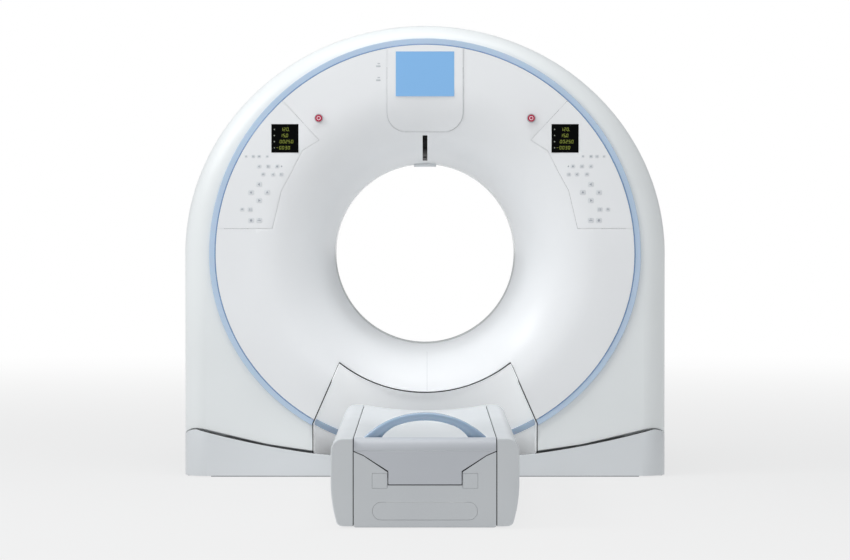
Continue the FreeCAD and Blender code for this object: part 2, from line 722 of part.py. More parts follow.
def sector_box(half_width, inner, outer, degrees, front=rotor_front_limit_y + 15):
    """A box on the rotor's front face, at an angle from the top."""
    return turned(box(-half_width, half_width, front, rotor_front_y,
                      iso_height + inner, iso_height + outer), degrees)


def rotor_pieces(parts):
    plate = bore_ring(rotor_bore, rotor_radius, rotor_front_y, rotor_back_y)
    parts["rotor_drum"] = plate
    tube = rod_y(tube_radius, rotor_front_limit_y, rotor_front_y, 0, iso_height + tube_orbit)
    nose = rod_y(tube_nose_radius, rotor_front_limit_y - 15, rotor_front_limit_y, 0,
                 iso_height + tube_orbit)
    parts["xray_tube"] = joined([tube, nose])
    below_tube = tube_orbit - tube_radius - 2
    parts["collimator"] = sector_box(collimator_half_width, below_tube - collimator_height, below_tube, 0)
    focus = vec(0, 0, iso_height + focus_radius)
    ring = rod_y(detector_distance + detector_depth, rotor_front_limit_y + 30, rotor_front_y,
                 focus.x, focus.z)
    ring = ring.cut(rod_y(detector_distance, -400, 400, focus.x, focus.z))
    reach = 2000.0
    fan_x = reach * math.tan(math.radians(detector_half_fan))
    fan = prism_y([(0, focus.z), (fan_x, focus.z - reach), (-fan_x, focus.z - reach)], -400, 400)
    parts["detector_arc"] = ring.common(fan)
    for name, size in rotor_units.items():
        parts[name] = sector_box(*size)
    parts["slip_ring"] = bore_ring(rotor_bore + 2, inner_race_bore - 3, rotor_back_y, frame_back_y - 15)


# ---------------------------------------------------------------- couch
def couch_side_profile(inset):
    """Half of the couch's cross-section outside its centre, as a face in X and Z."""
    top = couch_top_height - inset
    outer = couch_half_width - inset
    skirt = couch_skirt_half_width - inset
    low = couch_floor_gap - (1.0 if inset else 0.0)
    inner = couch_side_inner_x - (1.0 if inset else 0.0)
    round_x = couch_half_width - couch_shoulder
    round_z = couch_top_height - couch_shoulder
    radius = couch_shoulder - inset
    y = couch_foot_y
    diagonal = radius * math.sqrt(0.5)
    arc = Part.Arc(vec(round_x, y, top), vec(round_x + diagonal, y, round_z + diagonal),
                   vec(outer, y, round_z)).toShape()
    line = Part.makePolygon([vec(outer, y, round_z), vec(outer, y, couch_skirt_break), vec(skirt, y, low),
                             vec(inner, y, low), vec(inner, y, top), vec(round_x, y, top)]).Edges
    return Part.Face(Part.Wire([arc] + line))


def tongue_line(gap):
    """The step line between the couch's rising foot end and its fixed one, as (x, z)."""
    right = [(tongue_half_width + gap, tongue_bottom - gap), (tongue_half_width + gap, tongue_shoulder - gap),
             (tongue_ear_x, tongue_ear_height - gap),
             (couch_side_inner_x + 1, tongue_side_height - gap)]
    return [(-x, z) for x, z in reversed(right)] + right


def couch_shell_pieces(parts):
    length = couch_head_y - couch_foot_y
    outside = couch_side_profile(0).extrude(vec(0, length, 0))
    cavity = couch_side_profile(couch_wall).extrude(vec(0, length - 2 * couch_wall, 0))
    cavity.translate(vec(0, couch_wall, 0))
    side = outside.cut(cavity)
    parts["couch_right_side_cover"] = side
    parts["couch_left_side_cover"] = mirrored(side)

    half = couch_centre_half_width
    front = couch_foot_y

    def end_section(inset):
        top = couch_top_height - inset
        face = front + inset
        centre_y = couch_rear_of_round_y
        centre_z = couch_top_height - foot_round
        radius = foot_round - inset
        diagonal = radius * math.sqrt(0.5)
        arc = Part.Arc(vec(-half, face, centre_z), vec(-half, centre_y - diagonal, centre_z + diagonal),
                       vec(-half, centre_y, top)).toShape()
        back = cradle_foot_y - cradle_clear
        line = Part.makePolygon([vec(-half, centre_y, top), vec(-half, back, top), vec(-half, back, 0),
                                 vec(-half, face, 0), vec(-half, face, centre_z)]).Edges
        return Part.Face(Part.Wire([arc] + line)).extrude(vec(2 * half, 0, 0))

    skin = end_section(0).cut(end_section(couch_wall))
    skin = skin.cut(box(-half - 1, half + 1, front + couch_wall, couch_head_y, 0,
                        couch_top_height - couch_wall).common(
                            box(-half - 1, half + 1, couch_rear_of_round_y, couch_head_y, 0, 400)))
    above = prism_y(tongue_line(0) + [(half + 5, 400.0), (-half - 5, 400.0)], front - 1, couch_head_y)
    parts["foot_end_cover"] = max(skin.common(above).Solids, key=lambda solid: solid.Volume)

    below = prism_y([(-half - 5, plinth_floor_gap)] + tongue_line(couch_seam)
                    + [(half + 5, plinth_floor_gap)], front - 1, couch_head_y)
    plate = box(-half, half, front, front + couch_wall, plinth_floor_gap, tongue_side_height)
    flange_top = frame_underside - 12
    flange = box(half - couch_wall, half, front, front + 50, plinth_floor_gap, flange_top)
    end = joined([plate.common(below), flange, mirrored(flange)])
    lids = hatch_boxes(lid_gap)
    end = end.cut(stadium(lid_gap, front - 1, front + couch_wall + 1))
    parts["couch_base_end_cover"] = end.cut(lids)
    parts["couch_access_lids"] = Part.makeCompound([stadium(0, front, front + couch_wall),
                                                    hatch_boxes(0)])
    parts["head_end_cover"] = box(-half, half, couch_head_y - couch_wall, couch_head_y,
                                  couch_floor_gap + 6, cradle_bottom - 6)


def stadium(grow, y0, y1):
    centre_z = access_bottom + access_height / 2
    radius = access_height / 2 + grow
    reach = access_half_width - access_height / 2
    bar = box(-reach, reach, y0, y1, centre_z - radius, centre_z + radius)
    return joined([bar, rod_y(radius, y0, y1, reach, centre_z), rod_y(radius, y0, y1, -reach, centre_z)])


def hatch_boxes(grow):
    front = couch_foot_y - (1 if grow else 0)
    back = couch_foot_y + couch_wall + (1 if grow else 0)
    return both_sides(box(hatch_inner_x - grow, hatch_inner_x + hatch_size + grow, front, back,
                          hatch_bottom - grow, hatch_bottom + hatch_size + grow))


def cradle_section(y):
    """The concave patient board, in X and Z."""
    half = cradle_half_width
    top = couch_top_height
    arc = Part.Arc(vec(-half, y, top), vec(0, y, top - cradle_sag), vec(half, y, top)).toShape()
    line = Part.makePolygon([vec(half, y, top), vec(half, y, cradle_bottom + cradle_bevel),
                             vec(half - 2 * cradle_bevel, y, cradle_bottom),
                             vec(-half + 2 * cradle_bevel, y, cradle_bottom),
                             vec(-half, y, cradle_bottom + cradle_bevel), vec(-half, y, top)]).Edges
    return Part.Face(Part.Wire([arc] + line))


def couch_top_pieces(parts):
    board = cradle_section(cradle_foot_y).extrude(vec(0, cradle_head_y - cradle_foot_y, 0))
    parts["couch_top"] = board
    front = couch_foot_y + handle_set_back
    crown = couch_top_height + handle_rise

    def arch(half_width, top, extra):
        """A shallow arch above the couch top, on straight legs that reach into the board's hollow."""
        rise = top - couch_top_height
        radius = (half_width ** 2 + rise ** 2) / (2 * rise)
        y0, y1 = front - extra, front + handle_depth + extra
        disc = rod_y(radius, y0, y1, 0, top - radius)
        crown_part = disc.common(box(-half_width, half_width, y0, y1, couch_top_height, top))
        low = couch_top_height - cradle_sag - extra
        return joined([crown_part, box(-half_width, half_width, y0, y1, low, couch_top_height)])

    outer = arch(handle_half_width, crown, 0)
    inner = arch(handle_opening_half_width, crown - handle_thickness, 1)
    parts["push_handle"] = outer.cut(inner).cut(board)


# ---------------------------------------------------------------- couch lift
def lift_arm(x0, start, end):
    """A flat arm between two (y, z) pivots, with round ends."""
    run, rise = end[0] - start[0], end[1] - start[1]
    scale = arm_half_height / math.hypot(run, rise)
    off_y, off_z = -rise * scale, run * scale
    bar = prism_x([(start[0] + off_y, start[1] + off_z), (end[0] + off_y, end[1] + off_z),
                   (end[0] - off_y, end[1] - off_z), (start[0] - off_y, start[1] - off_z)],
                  x0, x0 + arm_thickness)
    rounds = [rod_x(arm_half_height, x0, x0 + arm_thickness, y, z) for y, z in (start, end)]
    return joined([bar] + rounds)


def lift_pieces(parts):
    low_fixed = (arm_fixed_y, arm_pivot_height)
    high_fixed = (arm_fixed_y, arm_top_height)
    low_roller = (arm_roller_y, arm_pivot_height)
    high_roller = (arm_roller_y, arm_top_height)
    middle = ((arm_fixed_y + arm_roller_y) / 2, (arm_pivot_height + arm_top_height) / 2)
    outer_reach = outer_arm_x + arm_thickness
    roller_x = outer_reach + 3

    outer = lift_arm(outer_arm_x, low_fixed, high_roller)
    pin = rod_x(arm_pin_radius, inner_arm_x - 4, outer_arm_x + 5, *middle)
    torque_shaft = rod_x(arm_shaft_radius, -outer_reach - 24, outer_reach + 24, *low_fixed)
    roller_axle = rod_x(arm_pin_radius, -roller_x - roller_width, roller_x + roller_width, *high_roller)
    parts["scissor_outer_arms"] = joined([outer, mirrored(outer), pin, mirrored(pin), torque_shaft,
                                          roller_axle])
    wheel = rod_x(roller_radius, roller_x, roller_x + roller_width - 2, *high_roller)
    axle_hole = rod_x(arm_pin_radius + running_gap, roller_x - 1, roller_x + roller_width, *high_roller)
    parts["outer_arm_rollers"] = both_sides(wheel.cut(axle_hole))

    inner = lift_arm(inner_arm_x, high_fixed, low_roller)
    inner = inner.cut(rod_x(arm_pin_radius + running_gap, inner_arm_x - 1, outer_arm_x, *middle))
    inner_shaft = rod_x(arm_pin_radius, -inner_arm_x - 5, inner_arm_x + 5, *high_fixed)
    inner_axle = rod_x(arm_pin_radius, -inner_arm_x - 5, inner_arm_x + 5, *low_roller)
    parts["scissor_inner_arms"] = joined([inner, mirrored(inner), inner_shaft, inner_axle])
    low_x = inner_arm_x - 3 - roller_width
    wheel = rod_x(roller_radius, low_x, inner_arm_x - 3, *low_roller)
    axle_hole = rod_x(arm_pin_radius + running_gap, low_x - 1, inner_arm_x, *low_roller)
    parts["inner_arm_rollers"] = both_sides(wheel.cut(axle_hole))

    travel = arm_run - math.sqrt(arm_length ** 2 - arm_high_rise ** 2)
    track_top = arm_pivot_height - roller_radius - free_gap
    track = box(low_x - 2, inner_arm_x - 2, arm_roller_y - 45, arm_roller_y + travel + 45,
                couch_rail_height, track_top)
    parts["couch_base_tracks"] = both_sides(track)

    base_foot = couch_foot_y + 50
    rail = box(couch_rail_inner_x, couch_rail_outer_x, base_foot, base_head_y, 0, couch_rail_height)
    ties = [box(-couch_rail_outer_x, couch_rail_outer_x, y, y + 60, 0, couch_rail_height - 10)
            for y in (base_foot, arm_fixed_y - 30, base_head_y - 60)]
    lug_x = outer_reach + 3
    lug = box(lug_x, lug_x + 18, arm_fixed_y - 35, arm_fixed_y + 35, 0, arm_pivot_height + 30)
    outrigger = box(couch_rail_outer_x - 5, lug_x + 18, arm_fixed_y - 35, arm_fixed_y + 35, 0, 40)
    lug = joined([lug, outrigger]).cut(rod_x(arm_shaft_radius + running_gap, lug_x - 1, lug_x + 20,
                                             *low_fixed))
    end_tie = box(-couch_centre_half_width + couch_wall, couch_centre_half_width - couch_wall,
                  couch_foot_y + couch_wall, base_foot + 5, 2, couch_rail_height - 10)
    frame = joined([rail, mirrored(rail)] + ties + [lug, mirrored(lug), end_tie])
    anchor_y = (base_foot + base_head_y) / 2
    for x in (-couch_anchor_spacing_x / 2, couch_anchor_spacing_x / 2):
        for y in (anchor_y - couch_anchor_spacing_y / 2, anchor_y + couch_anchor_spacing_y / 2):
            frame = frame.cut(rod_z(anchor_hole_radius, x, y, -1, couch_rail_height + 1))
    parts["couch_base_frame"] = frame

    half = lift_gearbox_width / 2
    gearbox = box(-half, half, arm_fixed_y - lift_gearbox_reach, arm_fixed_y + lift_gearbox_reach,
                  couch_rail_height - 10, arm_pivot_height + lift_gearbox_rise)
    motor = rod_y(lift_motor_radius, arm_fixed_y - lift_motor_length, arm_fixed_y - 50, 0,
                  arm_pivot_height)
    parts["lift_gearmotor"] = joined([gearbox, motor]).cut(
        rod_x(arm_shaft_radius + running_gap, -half - 5, half + 5, *low_fixed))

    top = frame_underside + lift_rail_height
    deck_x = outer_reach + 1
    side_rail = box(deck_x, deck_x + 30, couch_foot_y + 50, couch_head_y - couch_wall, frame_underside, top)
    reach = couch_half_width - couch_wall
    cross = [box(-reach, reach, y, y + 50, frame_underside + 8, top)
             for y in (couch_foot_y + 60, (couch_foot_y + couch_head_y) / 2, arm_fixed_y - 25,
                       couch_head_y - 80)]
    toe = box(-tongue_half_width + 10, tongue_half_width - 10, couch_foot_y + couch_wall,
              couch_foot_y + 70, frame_underside + 8, top)
    hanger_x = inner_arm_x - 24
    hanger = box(hanger_x, hanger_x + 20, arm_fixed_y - 25, arm_fixed_y + 25,
                 arm_top_height - 22, top)
    frame = joined([side_rail, mirrored(side_rail)] + cross + [toe, hanger, mirrored(hanger)])
    shaft_hole = rod_x(arm_pin_radius + running_gap, -inner_arm_x, inner_arm_x, *high_fixed)
    clear_arm = both_sides(box(inner_arm_x - 2, inner_arm_x + arm_thickness + 2, arm_fixed_y - 30,
                               arm_fixed_y + 30, 0, frame_underside + 12))
    parts["couch_lift_frame"] = frame.cut(shaft_hole).cut(clear_arm)
    guide = box(guide_inner_x, guide_inner_x + guide_width, couch_foot_y + 80, couch_head_y - 20, top,
                cradle_bottom - free_gap)
    parts["cradle_guides"] = both_sides(guide)


# ---------------------------------------------------------------- build
def build():
    parts = {}
    face_pieces(parts)
    cover_pieces(parts)
    stand_pieces(parts)
    frame_pieces(parts)
    rotor_pieces(parts)
    couch_shell_pieces(parts)
    couch_top_pieces(parts)
    lift_pieces(parts)
    os.makedirs("parts", exist_ok=True)
    for name, shape in parts.items():
        shape.exportStep(os.path.join("parts", name + ".step"))
        solids = len(shape.Solids)
        print(f"{name}: {solids} solid(s), {shape.Volume / 1e6:.3f} l, valid {shape.isValid()}")


build()
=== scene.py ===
"""Visual model of a CT scanner: a tilting gantry, its plinth and a patient couch."""
import json
import math

import bmesh
import bpy
from bpy.props import FloatProperty, FloatVectorProperty, PointerProperty
from mathutils import Matrix, Vector


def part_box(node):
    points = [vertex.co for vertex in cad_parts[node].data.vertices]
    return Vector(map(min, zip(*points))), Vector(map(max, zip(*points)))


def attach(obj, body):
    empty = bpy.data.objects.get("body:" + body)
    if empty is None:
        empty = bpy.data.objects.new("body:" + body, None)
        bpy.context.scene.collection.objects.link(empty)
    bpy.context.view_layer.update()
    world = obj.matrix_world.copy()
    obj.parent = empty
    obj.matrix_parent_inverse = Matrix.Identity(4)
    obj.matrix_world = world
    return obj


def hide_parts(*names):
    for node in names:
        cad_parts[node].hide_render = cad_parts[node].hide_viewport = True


bl_info = {
    "name": "CT Scanner",
    "version": (1, 0, 0),
    "blender": (4, 5, 0),
    "location": "View3D > Sidebar > CT Scanner",
    "description": "Dresses the packed CT scanner with its finishes, controls and stage",
    "category": "Object",
}

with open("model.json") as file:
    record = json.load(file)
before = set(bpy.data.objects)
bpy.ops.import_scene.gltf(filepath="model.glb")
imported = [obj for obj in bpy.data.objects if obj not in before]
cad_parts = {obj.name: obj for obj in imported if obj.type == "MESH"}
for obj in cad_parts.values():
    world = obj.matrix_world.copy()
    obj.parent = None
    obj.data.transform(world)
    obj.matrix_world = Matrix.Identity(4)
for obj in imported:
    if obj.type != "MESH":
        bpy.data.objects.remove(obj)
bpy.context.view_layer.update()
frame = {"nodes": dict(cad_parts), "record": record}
NODES = frame["nodes"]
MM = 0.001
QUARTER_TURN = math.radians(90)

# places that the CAD model gives, in metres
ISO = (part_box("rotor_drum")[0][2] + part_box("rotor_drum")[1][2]) / 2  # height of the bore's axis
FACE_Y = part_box("front_cover")[0][1]
FACE_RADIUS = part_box("front_cover")[1][0]
SHELL_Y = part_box("outer_shell")[0][1]
COUCH_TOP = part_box("foot_end_cover")[1][2]
COUCH_FOOT_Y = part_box("foot_end_cover")[0][1]

# how the moulded face is shaped, in metres
SQUASH = 0.93  # the ring's lower half is flattened to this share
FUNNEL_START = 0.720  # radius where the flat face turns into the funnel
FUNNEL_ROUND = 0.310  # radius of the funnel's own bend
RECESS_TOP = (0.362, 0.482)  # upper corner of the recess, X and height
RECESS_SIDE = (0.474, 0.226)  # its shoulder
PLINTH_ARC = 3.598  # radius of the plinth's top line
PLINTH_MIDDLE = 0.068  # height of that line in the middle

# the stage
FLOOR_HALF_WIDTH = 80.0
AMBIENT_LOW = 0.25  # strength of the surround at the horizon
AMBIENT_HIGH = 0.60  # and overhead


# ---------------------------------------------------------------- colours and nodes
def linear(hex_colour):
    """An sRGB hex value such as "#A0B0C0" as a linear RGBA colour; a linear one is kept."""
    if not isinstance(hex_colour, str):
        return (*hex_colour[:3], 1.0)
    channels = [int(hex_colour[i:i + 2], 16) / 255 for i in (1, 3, 5)]
    rgb = [c / 12.92 if c <= 0.04045 else ((c + 0.055) / 1.055) ** 2.4 for c in channels]
    return (*rgb, 1.0)


def add_node(tree, kind, settings=None, links=None):
    """Adds a node; settings go to its attributes or input values, links to its inputs."""
    node = tree.nodes.new(kind)
    for name, value in (settings or {}).items():
        if name in node.inputs and not hasattr(type(node), name):
            node.inputs[name].default_value = value
        else:
            setattr(node, name, value)
    for name, source in (links or {}).items():
        tree.links.new(source, node.inputs[name])
    return node


def new_material(name, base, **shader):
    """A material with one Principled shader; base is its flat colour."""
    material = bpy.data.materials.new(name)
    material.use_nodes = True
    tree = material.node_tree
    surface = tree.nodes["Principled BSDF"]
    surface.inputs["Base Color"].default_value = linear(base)
    for socket, value in shader.items():
        surface.inputs[socket.replace("_", " ")].default_value = value
    return material, tree, surface


def object_noise(tree, size_mm, detail=3.0):
    """Noise on the object's own coordinates whose grains are about size_mm across."""
    place = add_node(tree, "ShaderNodeTexCoord")
    return add_node(tree, "ShaderNodeTexNoise", {"Scale": 1 / (size_mm * MM), "Detail": detail},
                    {"Vector": place.outputs["Object"]})


def duller(colour, share=0.966):
    """A linear colour a shade darker, for the other end of a finish's drift."""
    return tuple(channel * share for channel in colour[:3])


def vary_roughness(tree, surface, noise, low, high):
    """Lets the noise move the roughness between two values."""
    spread = add_node(tree, "ShaderNodeMapRange", {"To Min": low, "To Max": high},
                      {"Value": noise.outputs["Fac"]})
    tree.links.new(spread.outputs["Result"], surface.inputs["Roughness"])


def add_bump(tree, surface, noise, height_mm, strength=1.0):
    """Lets the noise raise the surface by a height in millimetres."""
    bump = add_node(tree, "ShaderNodeBump", {"Strength": strength, "Distance": height_mm * MM},
                    {"Height": noise.outputs["Fac"]})
    tree.links.new(bump.outputs["Normal"], surface.inputs["Normal"])


def tint_between(tree, surface, noise, first, second):
    """Slow drift between two near colours, as a large moulding has."""
    ramp = add_node(tree, "ShaderNodeValToRGB", {}, {"Fac": noise.outputs["Fac"]})
    ramp.color_ramp.elements[0].position = 0.35
    ramp.color_ramp.elements[1].position = 0.65
    ramp.color_ramp.elements[0].color = linear(first)
    ramp.color_ramp.elements[1].color = linear(second)
    tree.links.new(ramp.outputs["Color"], surface.inputs["Base Color"])


# ---------------------------------------------------------------- materials
def moulded_paint(name, first, second, low=0.34, high=0.42):
    """Satin two-pack paint on a large reaction-moulded cover: soft highlight, faint orange peel."""
    material, tree, surface = new_material(name, first, IOR=1.47, Coat_Weight=0.15, Coat_Roughness=0.3)
    peel = object_noise(tree, 4.0)
    add_bump(tree, surface, peel, 0.03, 0.35)
    drift = object_noise(tree, 450.0, 1.0)
    tint_between(tree, surface, drift, first, second)
    vary_roughness(tree, surface, object_noise(tree, 60.0), low, high)
    return material


def painted_bounce_light_paint(name, first, second):
    """Satin paint with a faint glow: painted bounce light, standing in for the light that the funnel and
    couch throw back on it.
    """
    material = moulded_paint(name, first, second)
    surface = next(node for node in material.node_tree.nodes if node.type == "BSDF_PRINCIPLED")
    surface.inputs["Emission Color"].default_value = linear(first)
    surface.inputs["Emission Strength"].default_value = 0.13
    return material


def textured_abs(name, first, second):
    """Injection-moulded ABS with a fine spark-eroded grain: matt, slightly sparkling at a low angle."""
    material, tree, surface = new_material(name, first, IOR=1.52)
    add_bump(tree, surface, object_noise(tree, 1.6), 0.05, 0.4)
    tint_between(tree, surface, object_noise(tree, 300.0, 1.0), first, second)
    vary_roughness(tree, surface, object_noise(tree, 20.0), 0.42, 0.52)
    return material


def tinted_acrylic(name, first, second):
    """Cast acrylic strip, dyed through and polished: a clear coat over an even, slightly deep colour."""
    material, tree, surface = new_material(name, first, IOR=1.49, Coat_Weight=0.6, Coat_Roughness=0.08,
                                           Subsurface_Weight=0.1, Subsurface_Scale=0.01)
    tint_between(tree, surface, object_noise(tree, 220.0, 1.0), first, second)
    vary_roughness(tree, surface, object_noise(tree, 30.0), 0.2, 0.28)
    return material


def powder_coat(name, first, second):
    """Polyester powder coat on welded steel: a low, pebbled gloss."""
    material, tree, surface = new_material(name, first, IOR=1.5)
    add_bump(tree, surface, object_noise(tree, 2.5), 0.08, 0.5)
    tint_between(tree, surface, object_noise(tree, 80.0), first, second)
    vary_roughness(tree, surface, object_noise(tree, 12.0), 0.4, 0.5)
    return material


def turned_steel(name, colour, low=0.22, high=0.36):
    """Ground and turned steel: fine lines that stretch the highlight."""
    material, tree, surface = new_material(name, colour, Metallic=1.0)
    place = add_node(tree, "ShaderNodeTexCoord")
    stretch = add_node(tree, "ShaderNodeMapping", {"Scale": (60.0, 1500.0, 60.0)},
                       {"Vector": place.outputs["Object"]})
    lines = add_node(tree, "ShaderNodeTexNoise", {"Scale": 1.0, "Detail": 2.0},
                     {"Vector": stretch.outputs["Vector"]})
    add_bump(tree, surface, lines, 0.01, 0.3)
    vary_roughness(tree, surface, lines, low, high)
    return material


def machined_aluminium(name, colour):
    """Milled aluminium, bead-blasted: pale, even and slightly cloudy."""
    material, tree, surface = new_material(name, colour, Metallic=1.0)
    add_bump(tree, surface, object_noise(tree, 1.5), 0.03, 0.4)
    vary_roughness(tree, surface, object_noise(tree, 40.0), 0.34, 0.46)
    return material


def cast_paint(name, first, second):
    """Painted grey-iron casting: the sand's lumps show under a thin enamel."""
    material, tree, surface = new_material(name, first, IOR=1.5)
    add_bump(tree, surface, object_noise(tree, 6.0, 6.0), 0.4, 0.5)
    tint_between(tree, surface, object_noise(tree, 50.0), first, second)
    vary_roughness(tree, surface, object_noise(tree, 15.0), 0.45, 0.6)
    return material


def belt_rubber(name):
    """Fabric-backed rubber belting: matt black with a dusty wear."""
    material, tree, surface = new_material(name, "#17181A", IOR=1.52)
    add_bump(tree, surface, object_noise(tree, 1.2), 0.1, 0.5)
    tint_between(tree, surface, object_noise(tree, 25.0), "#141517", "#26282B")
    vary_roughness(tree, surface, object_noise(tree, 10.0), 0.6, 0.8)
    return material


def smoked_polycarbonate(name, colour="#020303"):
    """Smoked polycarbonate window: black and glossy, with the faint haze of a hard coat."""
    material, tree, surface = new_material(name, colour, IOR=1.58, Specular_IOR_Level=0.08)
    vary_roughness(tree, surface, object_noise(tree, 15.0), 0.1, 0.18)
    return material


def lit_screen(name):
    """Liquid-crystal panel behind glass: an even pale blue light under a smooth gloss."""
    material, tree, surface = new_material(name, "#6F9CC8", IOR=1.5, Emission_Strength=0.3)
    surface.inputs["Emission Color"].default_value = linear("#8CBDE8")
    vary_roughness(tree, surface, object_noise(tree, 25.0), 0.1, 0.16)
    return material


def glowing_segment(name, colour, strength):
    """Light-emitting diode segment: a dim, even glow."""
    material, _, surface = new_material(name, colour, Emission_Strength=strength, Roughness=0.5)
    surface.inputs["Emission Color"].default_value = linear(colour)
    return material


def printed_key(name, first, second):
    """Pad-printed polyester film over a dome switch: slightly duller than the cover round it."""
    material, tree, surface = new_material(name, first, IOR=1.5)
    tint_between(tree, surface, object_noise(tree, 8.0), first, second)
    vary_roughness(tree, surface, object_noise(tree, 6.0), 0.3, 0.4)
    return material


def gloss_moulding(name, first, second):
    """Gloss acetal moulding, such as a pushbutton head: deep colour with a sharp highlight."""
    material, tree, surface = new_material(name, first, IOR=1.48, Coat_Weight=0.4, Coat_Roughness=0.1)
    tint_between(tree, surface, object_noise(tree, 12.0), first, second)
    vary_roughness(tree, surface, object_noise(tree, 9.0), 0.22, 0.3)
    return material


def make_materials(look):
    """One finish for each of the record's slots, and three for covers that differ from theirs."""
    def user(maker, name, colour, *numbers):
        return maker(name, colour, duller(colour), *numbers)

    return {
        "front_cover": user(moulded_paint, "satin painted front cover", look.face_colour),
        "shell_cover": user(moulded_paint, "satin painted outer shell", look.shell_colour),
        "plinth_cover": user(moulded_paint, "satin painted plinth", look.plinth_colour),
        "couch_cover": user(textured_abs, "grained ABS couch cover", look.couch_colour),
        "accent_blue": user(tinted_acrylic, "dyed acrylic accent strip", look.ring_colour),
        "handle_blue": user(tinted_acrylic, "dyed acrylic push handle", look.handle_colour),
        "estop_red": user(gloss_moulding, "red acetal button", look.stop_colour),
        "liner_film": moulded_paint("polyester bore liner", "#EDEFF0", "#EAEDEE", 0.22, 0.3),
        # the recess cover is painted near white and made to glow faintly: painted bounce light in the
        # recess under the couch
        "recess cover": painted_bounce_light_paint("satin recess cover lightened with painted bounce light", "#FCFDFE", "#F9FBFC"),
        # the foot cover is painted greyer than the couch's other covers: painted shade on the couch's foot
        # face
        "foot cover": textured_abs("grained ABS foot cover darkened as painted shade", "#D0D4DA", "#CCD0D6"),
        "base end": textured_abs("grained ABS base cover", "#D9DDE0", "#D4D8DC"),
        "display_black": smoked_polycarbonate("smoked polycarbonate window"),
        "screen_blue": lit_screen("lit liquid-crystal screen"),
        "collar_plastic": textured_abs("moulded nylon collar", "#C3C7CB", "#BDC2C6"),
        "board_composite": moulded_paint("gel-coated composite board", "#E6EAED", "#E1E6E9", 0.28, 0.36),
        "frame_paint": powder_coat("grey powder coat", "#9A9DA1", "#909499"),
        "gear_paint": powder_coat("dark grey enamel", "#5E6369", "#565B61"),
        "cast_frame": cast_paint("painted casting", "#7D8186", "#74787D"),
        "bearing_steel": turned_steel("ground bearing steel", "#C4C6CA"),
        "rotor_aluminium": machined_aluminium("blasted aluminium", "#C9CBCE"),
        "slip_ring": gloss_moulding("epoxy slip ring", "#5A3C20", "#4A3018"),
        "belt_rubber": belt_rubber("ribbed rubber belt"),
    }


FINISH_OF_NODE = {  # pieces whose finish differs from the rest of their slot; the recess cover's is lightened and glows as painted bounce light, the foot cover's is darkened as painted shade
    "lower_front_cover": "recess cover", "foot_end_cover": "foot cover",
    "couch_base_end_cover": "base end", "couch_access_lids": "base end",
}
SLOT_OF_NODE = {part["node"]: part["material_slot"] for part in frame["record"]["subparts"]}


# ---------------------------------------------------------------- properties
def colour_property(name, description, default):
    """A colour setting whose default is an sRGB hex value."""
    return FloatVectorProperty(name=name, description=description, subtype="COLOR", size=3,
                               min=0.0, max=1.0, default=linear(default)[:3])


class ScannerLook(bpy.types.PropertyGroup):
    """Sizes and colours that a user would change."""
    face_colour: colour_property("Face", "Front cover and funnel", "#EDEFF1")
    shell_colour: colour_property("Shell", "Outer shell and rear cover", "#E9EDEE")
    plinth_colour: colour_property("Plinth", "Covers of the plinth", "#DADEE1")
    couch_colour: colour_property("Couch", "Side covers of the couch", "#DCE0E3")
    ring_colour: colour_property("Ring", "Accent ring round the face", "#BACFE6")
    handle_colour: colour_property("Handle", "Push handle of the board", "#A9C2DC")
    stop_colour: colour_property("Stop buttons", "Heads of the emergency stops", "#B01A42")
    edge_width: FloatProperty(name="Edge radius", description="Rounding on the moulded covers' edges",
                              default=0.7 * MM, unit="LENGTH")
    handle_thickness: FloatProperty(name="Handle thickness", description="The handle's bar at its crown",
                                    default=29.0 * MM, unit="LENGTH")
    handle_foot: FloatProperty(name="Handle foot", description="Extra thickness at the handle's two feet",
                               default=34.0 * MM, unit="LENGTH")
    handle_round: FloatProperty(name="Handle rounding", description="Corner radius of the handle's bar",
                                default=11.0 * MM, unit="LENGTH")
    couch_shoulder: FloatProperty(name="Couch shoulder", description="Round along the couch's top edges",
                                  default=45.0 * MM, unit="LENGTH")
    couch_end_round: FloatProperty(name="Couch end round", description="Round on the ends of the covers",
                                   default=13.0 * MM, unit="LENGTH")
    key_height: FloatProperty(name="Key height", description="How proud the film keys stand",
                              default=0.6 * MM, unit="LENGTH")
    # the darker strip on the ring's inner edge is painted shade where that edge slopes away from the light
    ring_shade_strip: FloatProperty(name="Ring edge shade", description="Width of the darker strip painted as shade on the accent ring's inner edge",
                              default=5.0 * MM, unit="LENGTH")
    camera_distance: FloatProperty(name="Camera distance", description="Lens to isocentre, along the bore",
                                   default=14.0, unit="LENGTH")
    camera_height: FloatProperty(name="Camera height", description="Lens above the floor",
                                 default=1.087, unit="LENGTH")
    camera_lens: FloatProperty(name="Focal length", description="Lens, in millimetres",
                               default=136.1)
    camera_pitch: FloatProperty(name="Camera pitch", description="Downward tilt of the lens",
                                default=math.radians(1.075), subtype="ANGLE")


EASED_EDGES = {  # millimetres, where a piece's edges are softer or crisper than usual
    "outer_shell": 1.5, "plinth_front_cover": 2.2, "plinth_rear_cover": 2.2,
    "couch_left_side_cover": 2.2, "couch_right_side_cover": 2.2, "foot_end_cover": 1.2,
    "couch_base_end_cover": 0.8, "push_handle": 9.0, "accent_ring": 2.5, "screen_housing": 1.5,
    "couch_top": 3.0, "left_display": 1.0, "right_display": 1.0, "laser_housing": 3.0,
}


